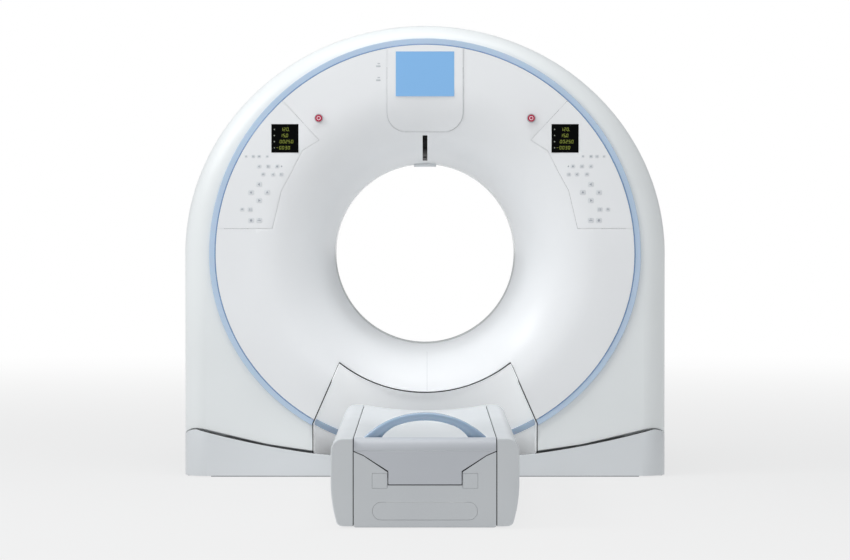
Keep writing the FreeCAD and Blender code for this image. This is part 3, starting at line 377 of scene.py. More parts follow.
class SCANNER_OT_finish_frame(bpy.types.Operator):
    """Gives every carried-over piece its finish and eases its edges"""
    bl_idname = "scanner.finish_frame"
    bl_label = "Finish the pieces"

    def execute(self, context):
        look = context.scene.scanner_look
        materials = make_materials(look)
        for name, piece in NODES.items():
            piece.data.materials.clear()
            piece.data.materials.append(materials[FINISH_OF_NODE.get(name, SLOT_OF_NODE[name])])
            weld = piece.modifiers.new("merge loose triangles", "WELD")
            weld.merge_threshold = 0.005 * MM
            bevel = piece.modifiers.new("eased edges", "BEVEL")
            bevel.width = EASED_EDGES.get(name, look.edge_width / MM) * MM
            bevel.segments = 3
            bevel.limit_method = "ANGLE"
            bevel.angle_limit = math.radians(40)
            bevel.harden_normals = False
        return {"FINISHED"}


# ---------------------------------------------------------------- mesh helpers
def link(obj):
    """Puts a new object in the scene."""
    bpy.context.scene.collection.objects.link(obj)
    return obj


def new_verts(made):
    """The vertices in what a bmesh operator says that it made."""
    return [item for item in made["geom"] if isinstance(item, bmesh.types.BMVert)]


def finish_of(node):
    """The finish that a carried-over piece has been given."""
    return NODES[node].data.materials[0]


def mesh_box(mesh, low, high):
    """A box between two corners; returns its vertices."""
    centre = (Vector(low) + Vector(high)) / 2
    size = Vector(high) - Vector(low)
    place = Matrix.Translation(centre) @ Matrix.Diagonal((*size, 1.0))
    return bmesh.ops.create_cube(mesh, size=1.0, matrix=place)["verts"]


def bevel_edges(mesh, edges, width, segments):
    """Rounds edges."""
    bmesh.ops.bevel(mesh, geom=list(edges), offset=width, segments=segments, profile=0.5,
                    affect="EDGES", material=-1, clamp_overlap=True)


def bevel_corners(mesh, verts, width, segments):
    """Rounds the corners of a flat outline."""
    bmesh.ops.bevel(mesh, geom=list(verts), offset=width, segments=segments, profile=0.5,
                    affect="VERTICES", material=-1)


def plate(target, centre, size, corner, rim, segments=4):
    """Adds a flat plate facing -Y with round corners and an eased front rim."""
    mesh = bmesh.new()
    half = Vector(size) / 2
    mesh_box(mesh, Vector(centre) - half, Vector(centre) + half)
    upright = [e for e in mesh.edges if abs(e.verts[0].co.y - e.verts[1].co.y) > half.y]
    if corner > 0:
        bevel_edges(mesh, upright, corner, segments)
    front = centre[1] - half.y
    rims = [e for e in mesh.edges if all(abs(v.co.y - front) < 1e-6 for v in e.verts)]
    if rim > 0:
        bevel_edges(mesh, rims, rim, 2)
    merge_into(target, mesh)


def disc(target, centre, radius, depth, rim, steps=48):
    """Adds a round plate facing -Y with an eased front rim."""
    mesh = bmesh.new()
    place = Matrix.Translation(centre) @ Matrix.Rotation(QUARTER_TURN, 4, "X")
    bmesh.ops.create_cone(mesh, cap_ends=True, segments=steps, radius1=radius, radius2=radius,
                          depth=depth, matrix=place)
    front = centre[1] - depth / 2
    rims = [e for e in mesh.edges if all(abs(v.co.y - front) < 1e-6 for v in e.verts)]
    if rim > 0:
        bevel_edges(mesh, rims, rim, 3)
    merge_into(target, mesh)


def merge_into(target, mesh):
    """Moves everything from one bmesh to another, and frees the first."""
    carrier = bpy.data.meshes.new("carrier")
    mesh.to_mesh(carrier)
    mesh.free()
    target.from_mesh(carrier)
    bpy.data.meshes.remove(carrier)


def finish_piece(name, mesh, material, body, smooth=35.0, replaces=None):
    """Turns a bmesh into an object that rides on a body."""
    bmesh.ops.remove_doubles(mesh, verts=mesh.verts, dist=1e-6)
    bmesh.ops.recalc_face_normals(mesh, faces=mesh.faces)
    data = bpy.data.meshes.new(name)
    mesh.to_mesh(data)
    mesh.free()
    data.shade_smooth()
    data.set_sharp_from_angle(angle=math.radians(smooth))
    data.materials.append(material)
    piece = link(bpy.data.objects.new(name, data))
    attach(piece, body)
    if replaces:
        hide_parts(*replaces)
    return piece


def face_y(x, z):
    """How far forward the moulded front face lies at a place seen from the front."""
    radius = math.hypot(x, z - ISO)
    if radius >= FUNNEL_START:
        return FACE_Y
    reach = FUNNEL_START - radius
    return FACE_Y + FUNNEL_ROUND - math.sqrt(max(FUNNEL_ROUND ** 2 - reach ** 2, 0.0))


# ---------------------------------------------------------------- controls on the gantry
KEY_ROWS = (  # key centres on the left panel: X, height above the floor, width, in millimetres
    (-755, 1354, 13), (-725, 1354, 17), (-700, 1354, 17), (-666, 1354, 13),
    (-700, 1312, 20), (-662, 1312, 20), (-624, 1312, 20),
    (-683, 1278, 20), (-641, 1278, 20), (-607, 1278, 20),
    (-700, 1236, 26), (-734, 1202, 26), (-666, 1202, 26), (-700, 1168, 26),
    (-772, 1130, 20), (-738, 1130, 24), (-734, 1084, 26), (-700, 1084, 26),
)
SEGMENTS = {"0": "abcdef", "1": "bc", "2": "abged", "3": "abgcd", "4": "fgbc", "5": "afgcd",
            "6": "afgedc", "7": "abc", "8": "abcdefg", "9": "abcdfg", "-": "g"}
READOUT = (" 120.", " 15.0", " 00250", "-0030")
KEY_DOT = (-605, 1312)  # the small round mark beside the keys, X and height in millimetres
LAMPS = (-197, (1734, 1675))  # X and the two heights of the status lamps, in millimetres


def digit(target, shape, x, z, width, height, front):
    """Adds one seven-bar numeral whose lower left corner is at x, z."""
    bar = width * 0.17
    bars = {"a": (0, height, width, height), "d": (0, 0, width, 0), "g": (0, height / 2, width, height / 2),
            "f": (0, height / 2, 0, height), "b": (width, height / 2, width, height),
            "e": (0, 0, 0, height / 2), "c": (width, 0, width, height / 2)}
    for letter in SEGMENTS.get(shape, ""):
        x0, z0, x1, z1 = bars[letter]
        inset = bar * 0.6
        low = (x + x0 - bar / 2 + inset * (x1 > x0), front, z + z0 - bar / 2 + inset * (z1 > z0))
        high = (x + x1 + bar / 2 - inset * (x1 > x0), front + 0.4 * MM,
                z + z1 + bar / 2 - inset * (z1 > z0))
        mesh_box(target, low, high)


class SCANNER_OT_readouts(bpy.types.Operator):
    """Builds the glowing numerals inside the two readout windows"""
    bl_idname = "scanner.readouts"
    bl_label = "Readout numerals"

    def execute(self, context):
        glow = glowing_segment("yellow-green numeral", "#8F9A3C", 0.35)
        symbol = printed_key("grey-green legend", "#8E958A", "#858C82")
        for side in ("left", "right"):
            low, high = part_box(side + "_display")
            front = low[1] - 0.3 * MM
            width = high[0] - low[0]
            height = high[2] - low[2]
            numerals = bmesh.new()
            legends = bmesh.new()
            pitch = width * 0.095
            for row, text in enumerate(READOUT):
                z = high[2] - height * (0.235 + 0.215 * row)
                x = low[0] + width * 0.22
                for shape in text:
                    if shape == ".":
                        mesh_box(numerals, (x - pitch * 0.3, front, z - 1 * MM),
                                 (x - pitch * 0.1, front + 0.4 * MM, z + 1 * MM))
                        continue
                    digit(numerals, shape, x, z, pitch * 0.62, height * 0.105, front)
                    x += pitch * 1.12
                mark_x = low[0] + width * 0.11
                plate(legends, (mark_x, front + 0.2 * MM, z + height * 0.05),
                      (5 * MM, 0.4 * MM, 5 * MM), (0.4 + row % 2 * 1.8) * MM, 0)
            lean = Matrix.Identity(4)
            lean[0][2] = 0.08
            centre = (Vector(low) + Vector(high)) / 2
            about = Matrix.Translation(centre) @ lean @ Matrix.Translation(-centre)
            bmesh.ops.transform(numerals, matrix=about, verts=numerals.verts)
            finish_piece(side + "_readout_numerals", numerals, glow, "gantry_body")
            finish_piece(side + "_readout_legends", legends, symbol, "gantry_body")
        return {"FINISHED"}


class SCANNER_OT_keypads(bpy.types.Operator):
    """Builds the film keys and their symbols on both control panels"""
    bl_idname = "scanner.keypads"
    bl_label = "Keypads"

    def execute(self, context):
        look = context.scene.scanner_look
        film = printed_key("polyester key film", "#DDE0E3", "#D8DBDE")
        ink = printed_key("grey screen ink", "#A9AEB6", "#A0A5AE")
        for side, sign in (("left", 1), ("right", -1)):
            keys = bmesh.new()
            marks = bmesh.new()
            for index, (x_mm, z_mm, width_mm) in enumerate(KEY_ROWS):
                x = sign * x_mm * MM
                z = z_mm * MM
                width = width_mm * MM
                front = face_y(x, z) - look.key_height
                depth = look.key_height + 1.0 * MM
                plate(keys, (x, front + depth / 2, z), (width, depth, width * 0.85), width * 0.25,
                      0.3 * MM)
                key_symbol(marks, index, x, front, z, width)
            dot_x = sign * KEY_DOT[0] * MM
            dot_z = KEY_DOT[1] * MM
            disc(marks, (dot_x, face_y(dot_x, dot_z), dot_z), 3.2 * MM, 1.2 * MM, 0.2 * MM, 20)
            finish_piece(side + "_keys", keys, film, "gantry_body")
            finish_piece(side + "_key_symbols", marks, ink, "gantry_body")
        return {"FINISHED"}


def key_symbol(target, index, x, front, z, width):
    """Adds a small generic mark on a key: an arrow, a bar pair, a ring or a square."""
    size = width * 0.34
    depth = 0.3 * MM
    y = front - depth / 2 + 0.05 * MM
    kind = index % 4 if index < 10 else (0 if index < 14 else 1 + index % 3)
    if kind == 0:
        mesh = bmesh.new()
        place = Matrix.Translation((x, y, z)) @ Matrix.Rotation(QUARTER_TURN, 4, "X")
        turn = {11: 90, 12: -90, 13: 180}.get(index, 0)  # the arrow keys point four ways
        place = place @ Matrix.Rotation(math.radians(90 + turn), 4, "Z")
        bmesh.ops.create_cone(mesh, cap_ends=True, segments=3, radius1=size * 0.8, radius2=size * 0.8,
                              depth=depth, matrix=place)
        merge_into(target, mesh)
    elif kind == 1:
        for shift in (-0.45, 0.45):
            plate(target, (x + shift * size, y, z), (size * 0.4, depth, size * 1.3), 0, 0)
    elif kind == 2:
        disc(target, (x, y, z), size * 0.62, depth, 0, 24)
    else:
        plate(target, (x, y, z), (size * 1.5, depth, size * 0.45), 0, 0)
        plate(target, (x, y, z + size * 0.7), (size * 0.7, depth, size * 0.35), 0, 0)


class SCANNER_OT_stop_buttons(bpy.types.Operator):
    """Builds the pale ring on each emergency-stop head"""
    bl_idname = "scanner.stop_buttons"
    bl_label = "Stop button rings"

    def execute(self, context):
        ink = gloss_moulding("pink moulded ring", "#FBE9EF", "#F8E0E8")
        for side in ("left", "right"):
            low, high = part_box(side + "_estop")
            centre = (Vector(low) + Vector(high)) / 2
            ring = bmesh.new()
            bmesh.ops.create_circle(ring, cap_ends=False, segments=40, radius=8.4 * MM)
            inner = new_verts(bmesh.ops.extrude_edge_only(ring, edges=ring.edges[:]))
            bmesh.ops.scale(ring, vec=(0.68, 0.68, 1.0), verts=inner)
            bmesh.ops.solidify(ring, geom=ring.faces[:], thickness=0.4 * MM)
            place = Matrix.Translation((centre.x, low[1] - 0.1 * MM, centre.z))
            place = place @ Matrix.Rotation(QUARTER_TURN, 4, "X")
            bmesh.ops.transform(ring, matrix=place, verts=ring.verts)
            finish_piece(side + "_stop_ring", ring, ink, side + "_estop_button")
        return {"FINISHED"}


class SCANNER_OT_laser_details(bpy.types.Operator):
    """Builds the apertures behind the laser window and two small lamps beside the screen"""
    bl_idname = "scanner.laser_details"
    bl_label = "Laser and lamp details"

    def execute(self, context):
        black = smoked_polycarbonate("blackened aperture")
        lens = gloss_moulding("grey lamp lens", "#C9CDD1", "#C2C6CB")
        low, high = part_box("laser_window")
        bars = bmesh.new()
        for share in (0.14, 0.5, 0.86):
            z = low[2] + (high[2] - low[2]) * share
            y = face_y(0, z) - 0.3 * MM
            plate(bars, (0, y, z), (15 * MM, 1.2 * MM, 7 * MM), 1.5 * MM, 0.3 * MM)
        finish_piece("laser_apertures", bars, black, "gantry_body")
        lamps = bmesh.new()
        for z_mm in LAMPS[1]:
            x = LAMPS[0] * MM
            z = z_mm * MM
            front = face_y(x, z)
            plate(lamps, (x, front, z), (19 * MM, 1.4 * MM, 7 * MM), 3 * MM, 0.3 * MM)
            plate(lamps, (x + 2 * MM, front, z + 11 * MM), (11 * MM, 1.2 * MM, 5 * MM), 1 * MM, 0.2 * MM)
        finish_piece("status_lamps", lamps, lens, "gantry_body")
        return {"FINISHED"}


# ---------------------------------------------------------------- seals and trims
def ribbon(points, shift, width):
    """A strip along points, moved by one vector and as wide as another."""
    mesh = bmesh.new()
    verts = [mesh.verts.new(Vector(point) + Vector(shift)) for point in points]
    for first, second in zip(verts, verts[1:]):
        mesh.edges.new((first, second))
    wide = bmesh.ops.extrude_edge_only(mesh, edges=mesh.edges[:])
    bmesh.ops.translate(mesh, verts=new_verts(wide), vec=width)
    return mesh


class SCANNER_OT_seals(bpy.types.Operator):
    """Builds the dark rubber seal in the recess edge and the couch's step, black strips in the couch's side
    seams and in the plinth gap as painted shade, and the funnel's joint
    """
    bl_idname = "scanner.seals"
    bl_label = "Seals and painted gap shade"

    def execute(self, context):
        rubber = belt_rubber("black sealing strip")
        build_recess_seal(rubber)
        build_couch_seam_shade_and_step_seal(rubber)
        build_plinth_gap_shade()
        build_plinth_gap_edge_shade()
        build_funnel_seam()
        return {"FINISHED"}


def build_recess_seal(rubber):
    """A cord of rubber along the recess's top arc and its two sides."""
    corner_x, corner_z = RECESS_TOP
    side_x, side_z = RECESS_SIDE
    radius = math.hypot(corner_x, ISO - corner_z) - 1 * MM
    half_angle = math.asin(corner_x / radius)
    edge_steps, arc_steps = 12, 60
    edge = [(side_x, 0.100), (side_x, 0.160), (side_x, side_z)]
    for step in range(1, edge_steps + 1):
        share = step / edge_steps
        edge.append((side_x + (corner_x - side_x) * share, side_z + (corner_z - side_z) * share))
    arc = []
    for step in range(1, arc_steps):
        angle = half_angle * (1 - 2 * step / arc_steps)
        arc.append((radius * math.sin(angle), ISO - radius * math.cos(angle)))
    line = edge + arc + [(-x, z) for x, z in reversed(edge)]
    lip_y = -0.4315  # the recess cover's upturned lip stands in front of the funnel here
    points = []
    for x, z in line:
        reach = math.hypot(x, z - ISO)
        y = lip_y if reach < radius + 4 * MM else face_y(x, z) if reach < FACE_RADIUS else SHELL_Y
        points.append((x, y, z))
    build_cord("recess_seal", points, 2.3 * MM, rubber, "gantry_body")


def build_cord(name, points, radius, material, body):
    """A round strip along points, made a mesh."""
    curve = bpy.data.curves.new(name + "_path", "CURVE")
    curve.dimensions = "3D"
    spline = curve.splines.new("POLY")
    spline.points.add(len(points) - 1)
    for place, point in zip(spline.points, points):
        place.co = (*point, 1.0)
    curve.bevel_depth = radius
    curve.bevel_resolution = 2
    curve.use_fill_caps = True
    holder = bpy.data.objects.new(name + "_path", curve)
    mesh = bmesh.new()
    data = bpy.data.meshes.new_from_object(holder)
    mesh.from_mesh(data)
    bpy.data.objects.remove(holder)
    bpy.data.curves.remove(curve)
    bpy.data.meshes.remove(data)
    return finish_piece(name, mesh, material, body, 50.0)


def build_couch_seam_shade_and_step_seal(rubber):
    """Black strips in the couch's side seams, as painted shade that makes those gaps read dark, and a black
    strip along the step between its two halves.
    """
    foot, top = COUCH_FOOT_Y, COUCH_TOP
    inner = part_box("couch_right_side_cover")[0][0]
    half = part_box("foot_end_cover")[1][0]
    strips = bmesh.new()
    for sign in (-1, 1):
        x0, x1 = sorted((sign * (inner - 0.1 * MM), sign * (half + 0.9 * MM)))
        # black strips in the side seams: painted shade that makes those gaps read dark
        mesh_box(strips, (x0, foot + 2.0 * MM, 0.008), (x1, foot + 48 * MM, top - 52 * MM))
        mesh_box(strips, (x0, foot + 30 * MM, top - 52 * MM), (x1, foot + 2040 * MM, top - 6 * MM))
    finish_piece("couch_side_seam_shade", strips, rubber, "couch")
    # the step's line from the middle outwards: below the tongue, up its side, out to the edge
    right = [(0.0, 0.1523), (0.1307, 0.1523), (0.1307, 0.1995), (0.218, 0.2563), (0.2505, 0.2705)]
    line = [(-x, z) for x, z in reversed(right)] + right[1:]
    points = [(x, foot + 7.5 * MM, z) for x, z in line]
    mesh = ribbon(points, (0, 0, -7 * MM), (0, 0, 14 * MM))
    bmesh.ops.recalc_face_normals(mesh, faces=mesh.faces)
    bmesh.ops.solidify(mesh, geom=mesh.faces[:], thickness=1.0 * MM)
    finish_piece("couch_step_seal", mesh, rubber, "stand")


def lines_the_bowl(face, depth):
    """Whether a face of the plinth belongs to the hollow that the tilting body turns in."""
    centre = face.calc_center_median()
    inward = Vector((0, -centre.y, ISO - centre.z))
    return (face.normal.dot(inward.normalized()) > 0.6 and inward.length < 0.940
            and abs(centre.y) < depth - 1 * MM and abs(centre.x) < 0.99)


def build_plinth_gap_shade():
    """Black sheet on the plinth's hollow top, which the tilting body turns over: painted shade that makes
    the gap under the body read black.
    """
    material = belt_rubber("black flocked lining")
    for name in ("plinth_front_cover", "plinth_rear_cover"):
        mesh = bmesh.new()
        mesh.from_mesh(NODES[name].data)
        bmesh.ops.remove_doubles(mesh, verts=mesh.verts, dist=1e-6)
        mesh.normal_update()
        depth = max(abs(corner[1]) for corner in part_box(name))
        drop = [face for face in mesh.faces if not lines_the_bowl(face, depth)]
        bmesh.ops.delete(mesh, geom=drop, context="FACES")
        bmesh.ops.solidify(mesh, geom=mesh.faces[:], thickness=-0.8 * MM)
        finish_piece(name.replace("cover", "lining"), mesh, material, "stand", 30.0)


def build_plinth_gap_edge_shade():
    """A round black cord along the plinth's front top line, outside the couch's recess: painted shade that
    makes the gap under the tilting body read black.
    """
    rubber = belt_rubber("black painted shade along the plinth gap")
    inner, outer, steps = 0.52, 0.93, 40
    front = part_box("plinth_front_cover")[0][1] + 3.5 * MM
    for side, sign in (("left", -1), ("right", 1)):
        points = []
        for step in range(steps + 1):
            x = inner + (outer - inner) * step / steps
            rise = PLINTH_ARC - math.sqrt(PLINTH_ARC ** 2 - x ** 2)
            points.append((sign * x, front, PLINTH_MIDDLE + rise))
        build_cord("plinth_edge_" + side, points, 2.6 * MM, rubber, "stand")


def build_funnel_seam():
    """The fine moulding joint down the middle of the funnel's lower half."""
    material = textured_abs("moulding joint", "#C9CDD1", "#C4C8CC")
    inner, outer, steps, x = 0.400, 0.580, 24, 8 * MM
    points = []
    for step in range(steps + 1):
        z = ISO - (inner + (outer - inner) * step / steps)
        points.append((x, face_y(0, z) - 0.05 * MM, z))
    mesh = ribbon(points, (0, 0, 0), (1.3 * MM, 0, 0))
    bmesh.ops.solidify(mesh, geom=mesh.faces[:], thickness=0.5 * MM)
    finish_piece("funnel_joint", mesh, material, "gantry_body")


def ring_outline(radius, y, steps=360):
    """Points round the face: a circle above, flattened below, from the recess to the recess."""
    points = []
    for step in range(steps + 1):
        angle = math.radians(-90 + 360 * step / steps)
        x = radius * math.cos(angle)
        z = radius * math.sin(angle)
        if z < 0:
            z *= SQUASH
        up = (ISO + z - RECESS_SIDE[1]) / (RECESS_TOP[1] - RECESS_SIDE[1])
        half_width = RECESS_SIDE[0] + (RECESS_TOP[0] - RECESS_SIDE[0]) * max(up, 0.0)
        if ISO + z > RECESS_TOP[1] or abs(x) > half_width + 3 * MM:
            points.append((x, y, ISO + z))
    return points


# ---------------------------------------------------------------- couch pieces
class SCANNER_OT_push_handle(bpy.types.Operator):
    """Builds the soft-edged push handle over the foot of the board"""
    bl_idname = "scanner.push_handle"
    bl_label = "Push handle"

    def execute(self, context):
        look = context.scene.scanner_look
        low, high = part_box("push_handle")
        half = high[0]
        rise = high[2] - COUCH_TOP
        radius = (half ** 2 + rise ** 2) / (2 * rise)
        centre = Vector((0, (low[1] + high[1]) / 2, high[2] - radius))
        swing = math.asin(half / radius)
        thickness = look.handle_thickness
        mesh = bmesh.new()
        mesh_box(mesh, (0, low[1], high[2] - thickness), (1 * MM, high[1], high[2]))
        spare = [face for face in mesh.faces if face.normal.x < 0.5]
        bmesh.ops.delete(mesh, geom=spare, context="FACES")
        bevel_corners(mesh, mesh.verts[:], look.handle_round, 6)
        bmesh.ops.translate(mesh, verts=mesh.verts, vec=(-1 * MM, 0, 0))
        bmesh.ops.rotate(mesh, verts=mesh.verts, cent=centre, matrix=Matrix.Rotation(-swing, 3, "Y"))
        bmesh.ops.spin(mesh, geom=mesh.faces[:] + mesh.edges[:] + mesh.verts[:], cent=centre,
                       axis=(0, 1, 0), angle=2 * swing, steps=72)
        foot_start = 0.45  # share of the half arch where the feet begin to thicken
        for vert in mesh.verts:
            across = vert.co - centre
            angle = math.atan2(across.x, across.z)
            reach = math.hypot(across.x, across.z)
            foot = max(abs(angle) / swing - foot_start, 0.0) / (1 - foot_start)
            reach -= look.handle_foot * foot ** 2 * max(radius - reach, 0.0) / thickness
            vert.co.x = centre.x + reach * math.sin(angle)
            vert.co.z = centre.z + reach * math.cos(angle)
        finish_piece("push_handle_grip", mesh, finish_of("push_handle"), "patient_board",
                     60.0, replaces=["push_handle"])
        return {"FINISHED"}


class SCANNER_OT_couch_sides(bpy.types.Operator):
    """Builds the couch's two long side covers with their round shoulders and soft ends"""
    bl_idname = "scanner.couch_sides"
    bl_label = "Couch side covers"

    def execute(self, context):
        look = context.scene.scanner_look
        low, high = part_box("couch_right_side_cover")
        inner, outer = low[0], high[0]
        skirt = outer - 24 * MM
        waist_height = 100 * MM
        for name, sign in (("right", 1), ("left", -1)):
            mesh = bmesh.new()
            section = [(inner, low[2]), (skirt, low[2]), (outer, waist_height), (outer, high[2]),
                       (inner, high[2])]
            verts = [mesh.verts.new((x, low[1], z)) for x, z in section]
            mesh.faces.new(verts)
            bevel_corners(mesh, [verts[3]], look.couch_shoulder, 12)
            waist = [v for v in mesh.verts if abs(v.co.z - waist_height) < 1e-5]
            bevel_corners(mesh, waist, 55 * MM, 8)
            hem = [v for v in mesh.verts if abs(v.co.x - skirt) < 1e-5 and v.co.z < 20 * MM]
            bevel_corners(mesh, hem, 16 * MM, 5)
            bmesh.ops.recalc_face_normals(mesh, faces=mesh.faces)
            pushed = bmesh.ops.extrude_face_region(mesh, geom=mesh.faces[:])
            bmesh.ops.translate(mesh, vec=(0, high[1] - low[1], 0), verts=new_verts(pushed))
            bmesh.ops.recalc_face_normals(mesh, faces=mesh.faces)
            for end in (low[1], high[1]):
                rim = [e for e in mesh.edges
                       if all(abs(v.co.y - end) < 1e-6 for v in e.verts)
                       and not all(abs(v.co.x - inner) < 1e-6 for v in e.verts)
                       and not all(abs(v.co.z - low[2]) < 1e-6 for v in e.verts)]
                bevel_edges(mesh, rim, look.couch_end_round, 5)
            open_side = [f for f in mesh.faces
                         if f.normal.z < -0.99 and f.calc_center_median().z < 10 * MM]
            bmesh.ops.delete(mesh, geom=open_side, context="FACES")
            bmesh.ops.scale(mesh, vec=(sign, 1, 1), verts=mesh.verts)
            bmesh.ops.recalc_face_normals(mesh, faces=mesh.faces)
            outward = max(mesh.faces, key=lambda f: abs(f.calc_center_median().x))
            if outward.normal.x * sign < 0:
                bmesh.ops.reverse_faces(mesh, faces=mesh.faces)
            bmesh.ops.solidify(mesh, geom=mesh.faces[:], thickness=3 * MM)
            node = "couch_" + name + "_side_cover"
            finish_piece("couch_" + name + "_side", mesh, finish_of(node), "couch", 50.0,
                         replaces=[node])
        return {"FINISHED"}


class SCANNER_OT_ring_edge_shade(bpy.types.Operator):
    """Builds a deeper blue strip along the accent ring's inner edge, as painted shade where that edge
    slopes away from the light
    """
    bl_idname = "scanner.ring_trim"
    bl_label = "Ring edge shade"

    def execute(self, context):
        look = context.scene.scanner_look
        blue = tinted_acrylic("deeper blue painted shade on the ring's inner edge", "#7C9CC6", "#7394C0")
        points = ring_outline(FACE_RADIUS + 2.6 * MM, FACE_Y + 2.7 * MM)
        # a darker blue cord along the ring's inner edge: painted shade
        build_cord("ring_shade_strip", points, look.ring_shade_strip / 2, blue, "gantry_body")
        return {"FINISHED"}


class SCANNER_OT_rear_details(bpy.types.Operator):
    """Builds the rear cover's air louvres, key panel, joint and quarter-turn fasteners"""
    bl_idname = "scanner.rear_details"
    bl_label = "Rear cover details"

    def execute(self, context):
        paint = moulded_paint("satin painted rear fittings", "#E4E8EA", "#DFE4E6")
        black = belt_rubber("black louvre mesh")
        key_film = printed_key("rear key film", "#C6CBD0", "#BFC5CA")
        steel = turned_steel("zinc-plated fastener", "#B9BCC0")
        back = -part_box("rear_cover")[1][1]  # built facing -Y, then turned to face +Y
        blades, slots, joints, fasteners, keys = (bmesh.new() for _ in range(5))
        for x in (-0.72, 0.72):
            for row in range(14):
                z = 0.30 + row * 0.024
                plate(slots, (x, back - 0.1 * MM, z), (0.25, 1.2 * MM, 13 * MM), 6 * MM, 0, 5)
                plate(blades, (x, back - 1.5 * MM, z + 6.5 * MM), (0.256, 6 * MM, 7 * MM),
                      2 * MM, 1.5 * MM, 3)
        for low, high in ((0.128, 0.375), (1.505, 1.812)):  # below and above the rear mouth
            plate(joints, (0, back, (low + high) / 2), (2.2 * MM, 0.8 * MM, high - low), 0, 0)
        fastener_orbit, fasteners_round = 0.625, 12
        for step in range(fasteners_round):
            angle = 2 * math.pi * (step + 0.5) / fasteners_round
            x, z = fastener_orbit * math.sin(angle), ISO + fastener_orbit * math.cos(angle)
            disc(fasteners, (x, back - 0.8 * MM, z), 9 * MM, 3 * MM, 0.8 * MM, 32)
            # a black bar across each fastener's head: painted shade in its slot
            plate(slots, (x, back - 2.2 * MM, z), (11 * MM, 0.6 * MM, 2 * MM), 0, 0)
        panel_x, panel_z = -0.70, 1.22
        plate(blades, (panel_x, back - 1 * MM, panel_z), (0.15, 5 * MM, 0.24), 18 * MM, 1.5 * MM, 6)
        plate(slots, (panel_x, back - 3.4 * MM, panel_z + 80 * MM), (0.11, 1.2 * MM, 45 * MM),
              4 * MM, 0.3 * MM)
        for row in range(4):
            for column in (-1, 0, 1):
                place = (panel_x + column * 40 * MM, back - 3.8 * MM, panel_z + (30 - row * 36) * MM)
                plate(keys, place, (30 * MM, 1.4 * MM, 22 * MM), 4 * MM, 0.4 * MM)
        turn = Matrix.Rotation(math.pi, 4, "Z")
        for name, mesh, material in (("rear_louvre_blades", blades, paint), ("rear_slots", slots, black),
                                     ("rear_joint", joints, black), ("rear_keys", keys, key_film),
                                     ("rear_fasteners", fasteners, steel)):
            bmesh.ops.transform(mesh, matrix=turn, verts=mesh.verts)
            finish_piece(name, mesh, material, "gantry_body")
        return {"FINISHED"}


class SCANNER_OT_stage(bpy.types.Operator):
    """Adds the floor, the lights and the camera"""
    bl_idname = "scanner.stage"
    bl_label = "Set the stage"

    def execute(self, context):
        look = context.scene.scanner_look
        scene = context.scene
        scene.view_settings.view_transform = "Standard"
        add_floor()
        add_world(scene)
        add_lights()
        add_camera(scene, look)
        return {"FINISHED"}


def add_floor():
    """A wide pale floor that brightens into the background with distance."""
    mesh = bmesh.new()
    bmesh.ops.create_grid(mesh, x_segments=2, y_segments=2, size=FLOOR_HALF_WIDTH)
    data = bpy.data.meshes.new("studio_floor")
    mesh.to_mesh(data)
    mesh.free()
    floor = link(bpy.data.objects.new("studio_floor", data))
    material, tree, surface = new_material("white studio paper", "#F1F2F3", Roughness=0.9,
                                           Specular_IOR_Level=0.1)
    place = add_node(tree, "ShaderNodeTexCoord")
    distance = add_node(tree, "ShaderNodeVectorMath", {"operation": "LENGTH"},
                        {"Vector": place.outputs["Object"]})
    fade = add_node(tree, "ShaderNodeMapRange",
                    {"From Min": 0.0, "From Max": 10.0, "To Min": 0.835},
                    {"Value": distance.outputs["Value"]})
    level = add_node(tree, "ShaderNodeMapRange", {"From Min": 0.0, "From Max": 12.0, "To Min": 0.83},
                     {"Value": distance.outputs["Value"]})
    glow = add_node(tree, "ShaderNodeEmission", {}, {"Strength": level.outputs["Result"]})
    blend = add_node(tree, "ShaderNodeMixShader", {}, {"Fac": fade.outputs["Result"]})
    tree.links.new(surface.outputs["BSDF"], blend.inputs[1])
    tree.links.new(glow.outputs["Emission"], blend.inputs[2])
    tree.links.new(blend.outputs["Shader"], tree.nodes["Material Output"].inputs["Surface"])
    data.materials.append(material)


def add_world(scene):
    """A white surround that lights the object softly."""
    world = bpy.data.worlds.new("studio")
    world.use_nodes = True
    tree = world.node_tree
    soft = tree.nodes["Background"]
    soft.inputs["Color"].default_value = linear("#F6F8FA")
    place = add_node(tree, "ShaderNodeTexCoord")
    split = add_node(tree, "ShaderNodeSeparateXYZ", {}, {"Vector": place.outputs["Generated"]})
    level = add_node(tree, "ShaderNodeMapRange", {"To Min": AMBIENT_LOW, "To Max": AMBIENT_HIGH},
                     {"Value": split.outputs["Z"]})
    tree.links.new(level.outputs["Result"], soft.inputs["Strength"])
    seen = add_node(tree, "ShaderNodeBackground", {"Strength": 1.0})
    seen.inputs["Color"].default_value = (1, 1, 1, 1)
    path = add_node(tree, "ShaderNodeLightPath")
    choose = add_node(tree, "ShaderNodeMixShader", {}, {"Fac": path.outputs["Is Camera Ray"]})
    tree.links.new(soft.outputs["Background"], choose.inputs[1])
    tree.links.new(seen.outputs["Background"], choose.inputs[2])
    tree.links.new(choose.outputs["Shader"], tree.nodes["World Output"].inputs["Surface"])
    scene.world = world


def add_light(name, place, aim, size, power, spread=180.0):
    """A soft panel light at one place, aimed at another."""
    data = bpy.data.lights.new(name, "AREA")
    data.shape = "RECTANGLE"
    data.size, data.size_y = size
    data.energy = power
    data.spread = math.radians(spread)
    light = link(bpy.data.objects.new(name, data))
    light.visible_camera = False
    light.location = place
    light.rotation_euler = (Vector(aim) - Vector(place)).to_track_quat("-Z", "Y").to_euler()


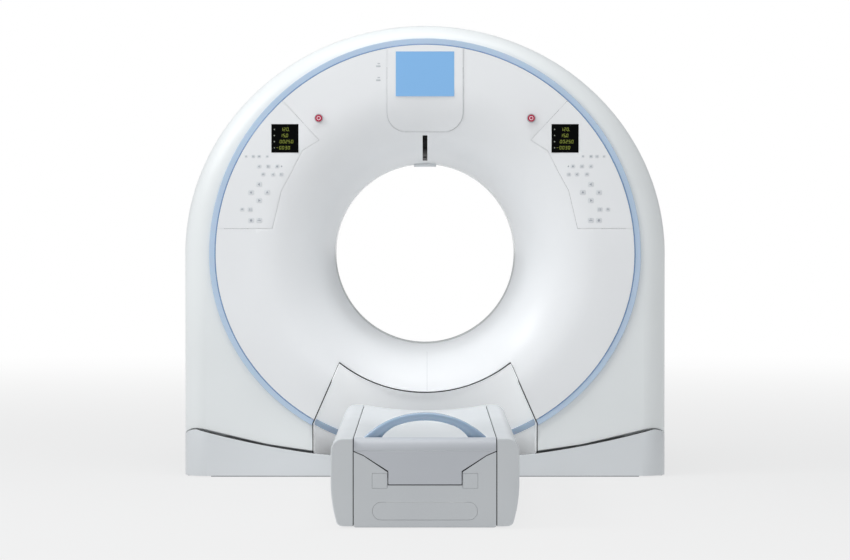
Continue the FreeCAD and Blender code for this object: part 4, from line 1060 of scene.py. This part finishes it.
def add_lights():
    """The key on the left, a wide top light, a weak fill and a small light along the couch."""
    add_light("key", (-4.4, -2.7, 4.2), (0, -0.3, 0.9), (3.0, 2.0), 121.0)
    add_light("top", (0.0, -1.9, 5.4), (0, -1.2, 0.3), (4.0, 2.0), 92.0)
    add_light("fill", (5.0, -2.8, 3.0), (0, -0.4, 0.9), (3.0, 2.0), 0.5)
    add_light("couch light", (0.0, -2.2, 1.25), (0.0, -0.45, 0.25), (1.0, 0.3), 1.0, 75.0)


def add_camera(scene, look):
    """A long lens that looks almost along the bore."""
    data = bpy.data.cameras.new("camera")
    data.lens = look.camera_lens
    data.sensor_width = 36.0
    data.clip_end = 200.0
    camera = link(bpy.data.objects.new("camera", data))
    camera.location = (0, -look.camera_distance, look.camera_height)
    camera.rotation_euler = (math.pi / 2 - look.camera_pitch, 0, 0)
    scene.camera = camera


class SCANNER_PT_panel(bpy.types.Panel):
    """Lists the steps that dress the scanner"""
    bl_label = "CT Scanner"
    bl_idname = "SCANNER_PT_panel"
    bl_space_type = "VIEW_3D"
    bl_region_type = "UI"
    bl_category = "CT Scanner"

    def draw(self, context):
        for step in STEPS:
            self.layout.operator(step.bl_idname)
        for name in ScannerLook.__annotations__:
            self.layout.prop(context.scene.scanner_look, name)


STEPS = (SCANNER_OT_finish_frame, SCANNER_OT_readouts, SCANNER_OT_keypads, SCANNER_OT_stop_buttons,
         SCANNER_OT_laser_details, SCANNER_OT_seals, SCANNER_OT_push_handle,
         SCANNER_OT_couch_sides, SCANNER_OT_ring_edge_shade, SCANNER_OT_rear_details,
         SCANNER_OT_stage)
CLASSES = (ScannerLook, *STEPS, SCANNER_PT_panel)


def register():
    for cls in CLASSES:
        bpy.utils.register_class(cls)
    bpy.types.Scene.scanner_look = PointerProperty(type=ScannerLook)


def unregister():
    del bpy.types.Scene.scanner_look
    for cls in reversed(CLASSES):
        bpy.utils.unregister_class(cls)


def main():
    register()
    for step in STEPS:
        group, name = step.bl_idname.split(".")
        getattr(getattr(bpy.ops, group), name)()
    bpy.context.view_layer.update()


if __name__ == "__main__":
    main()
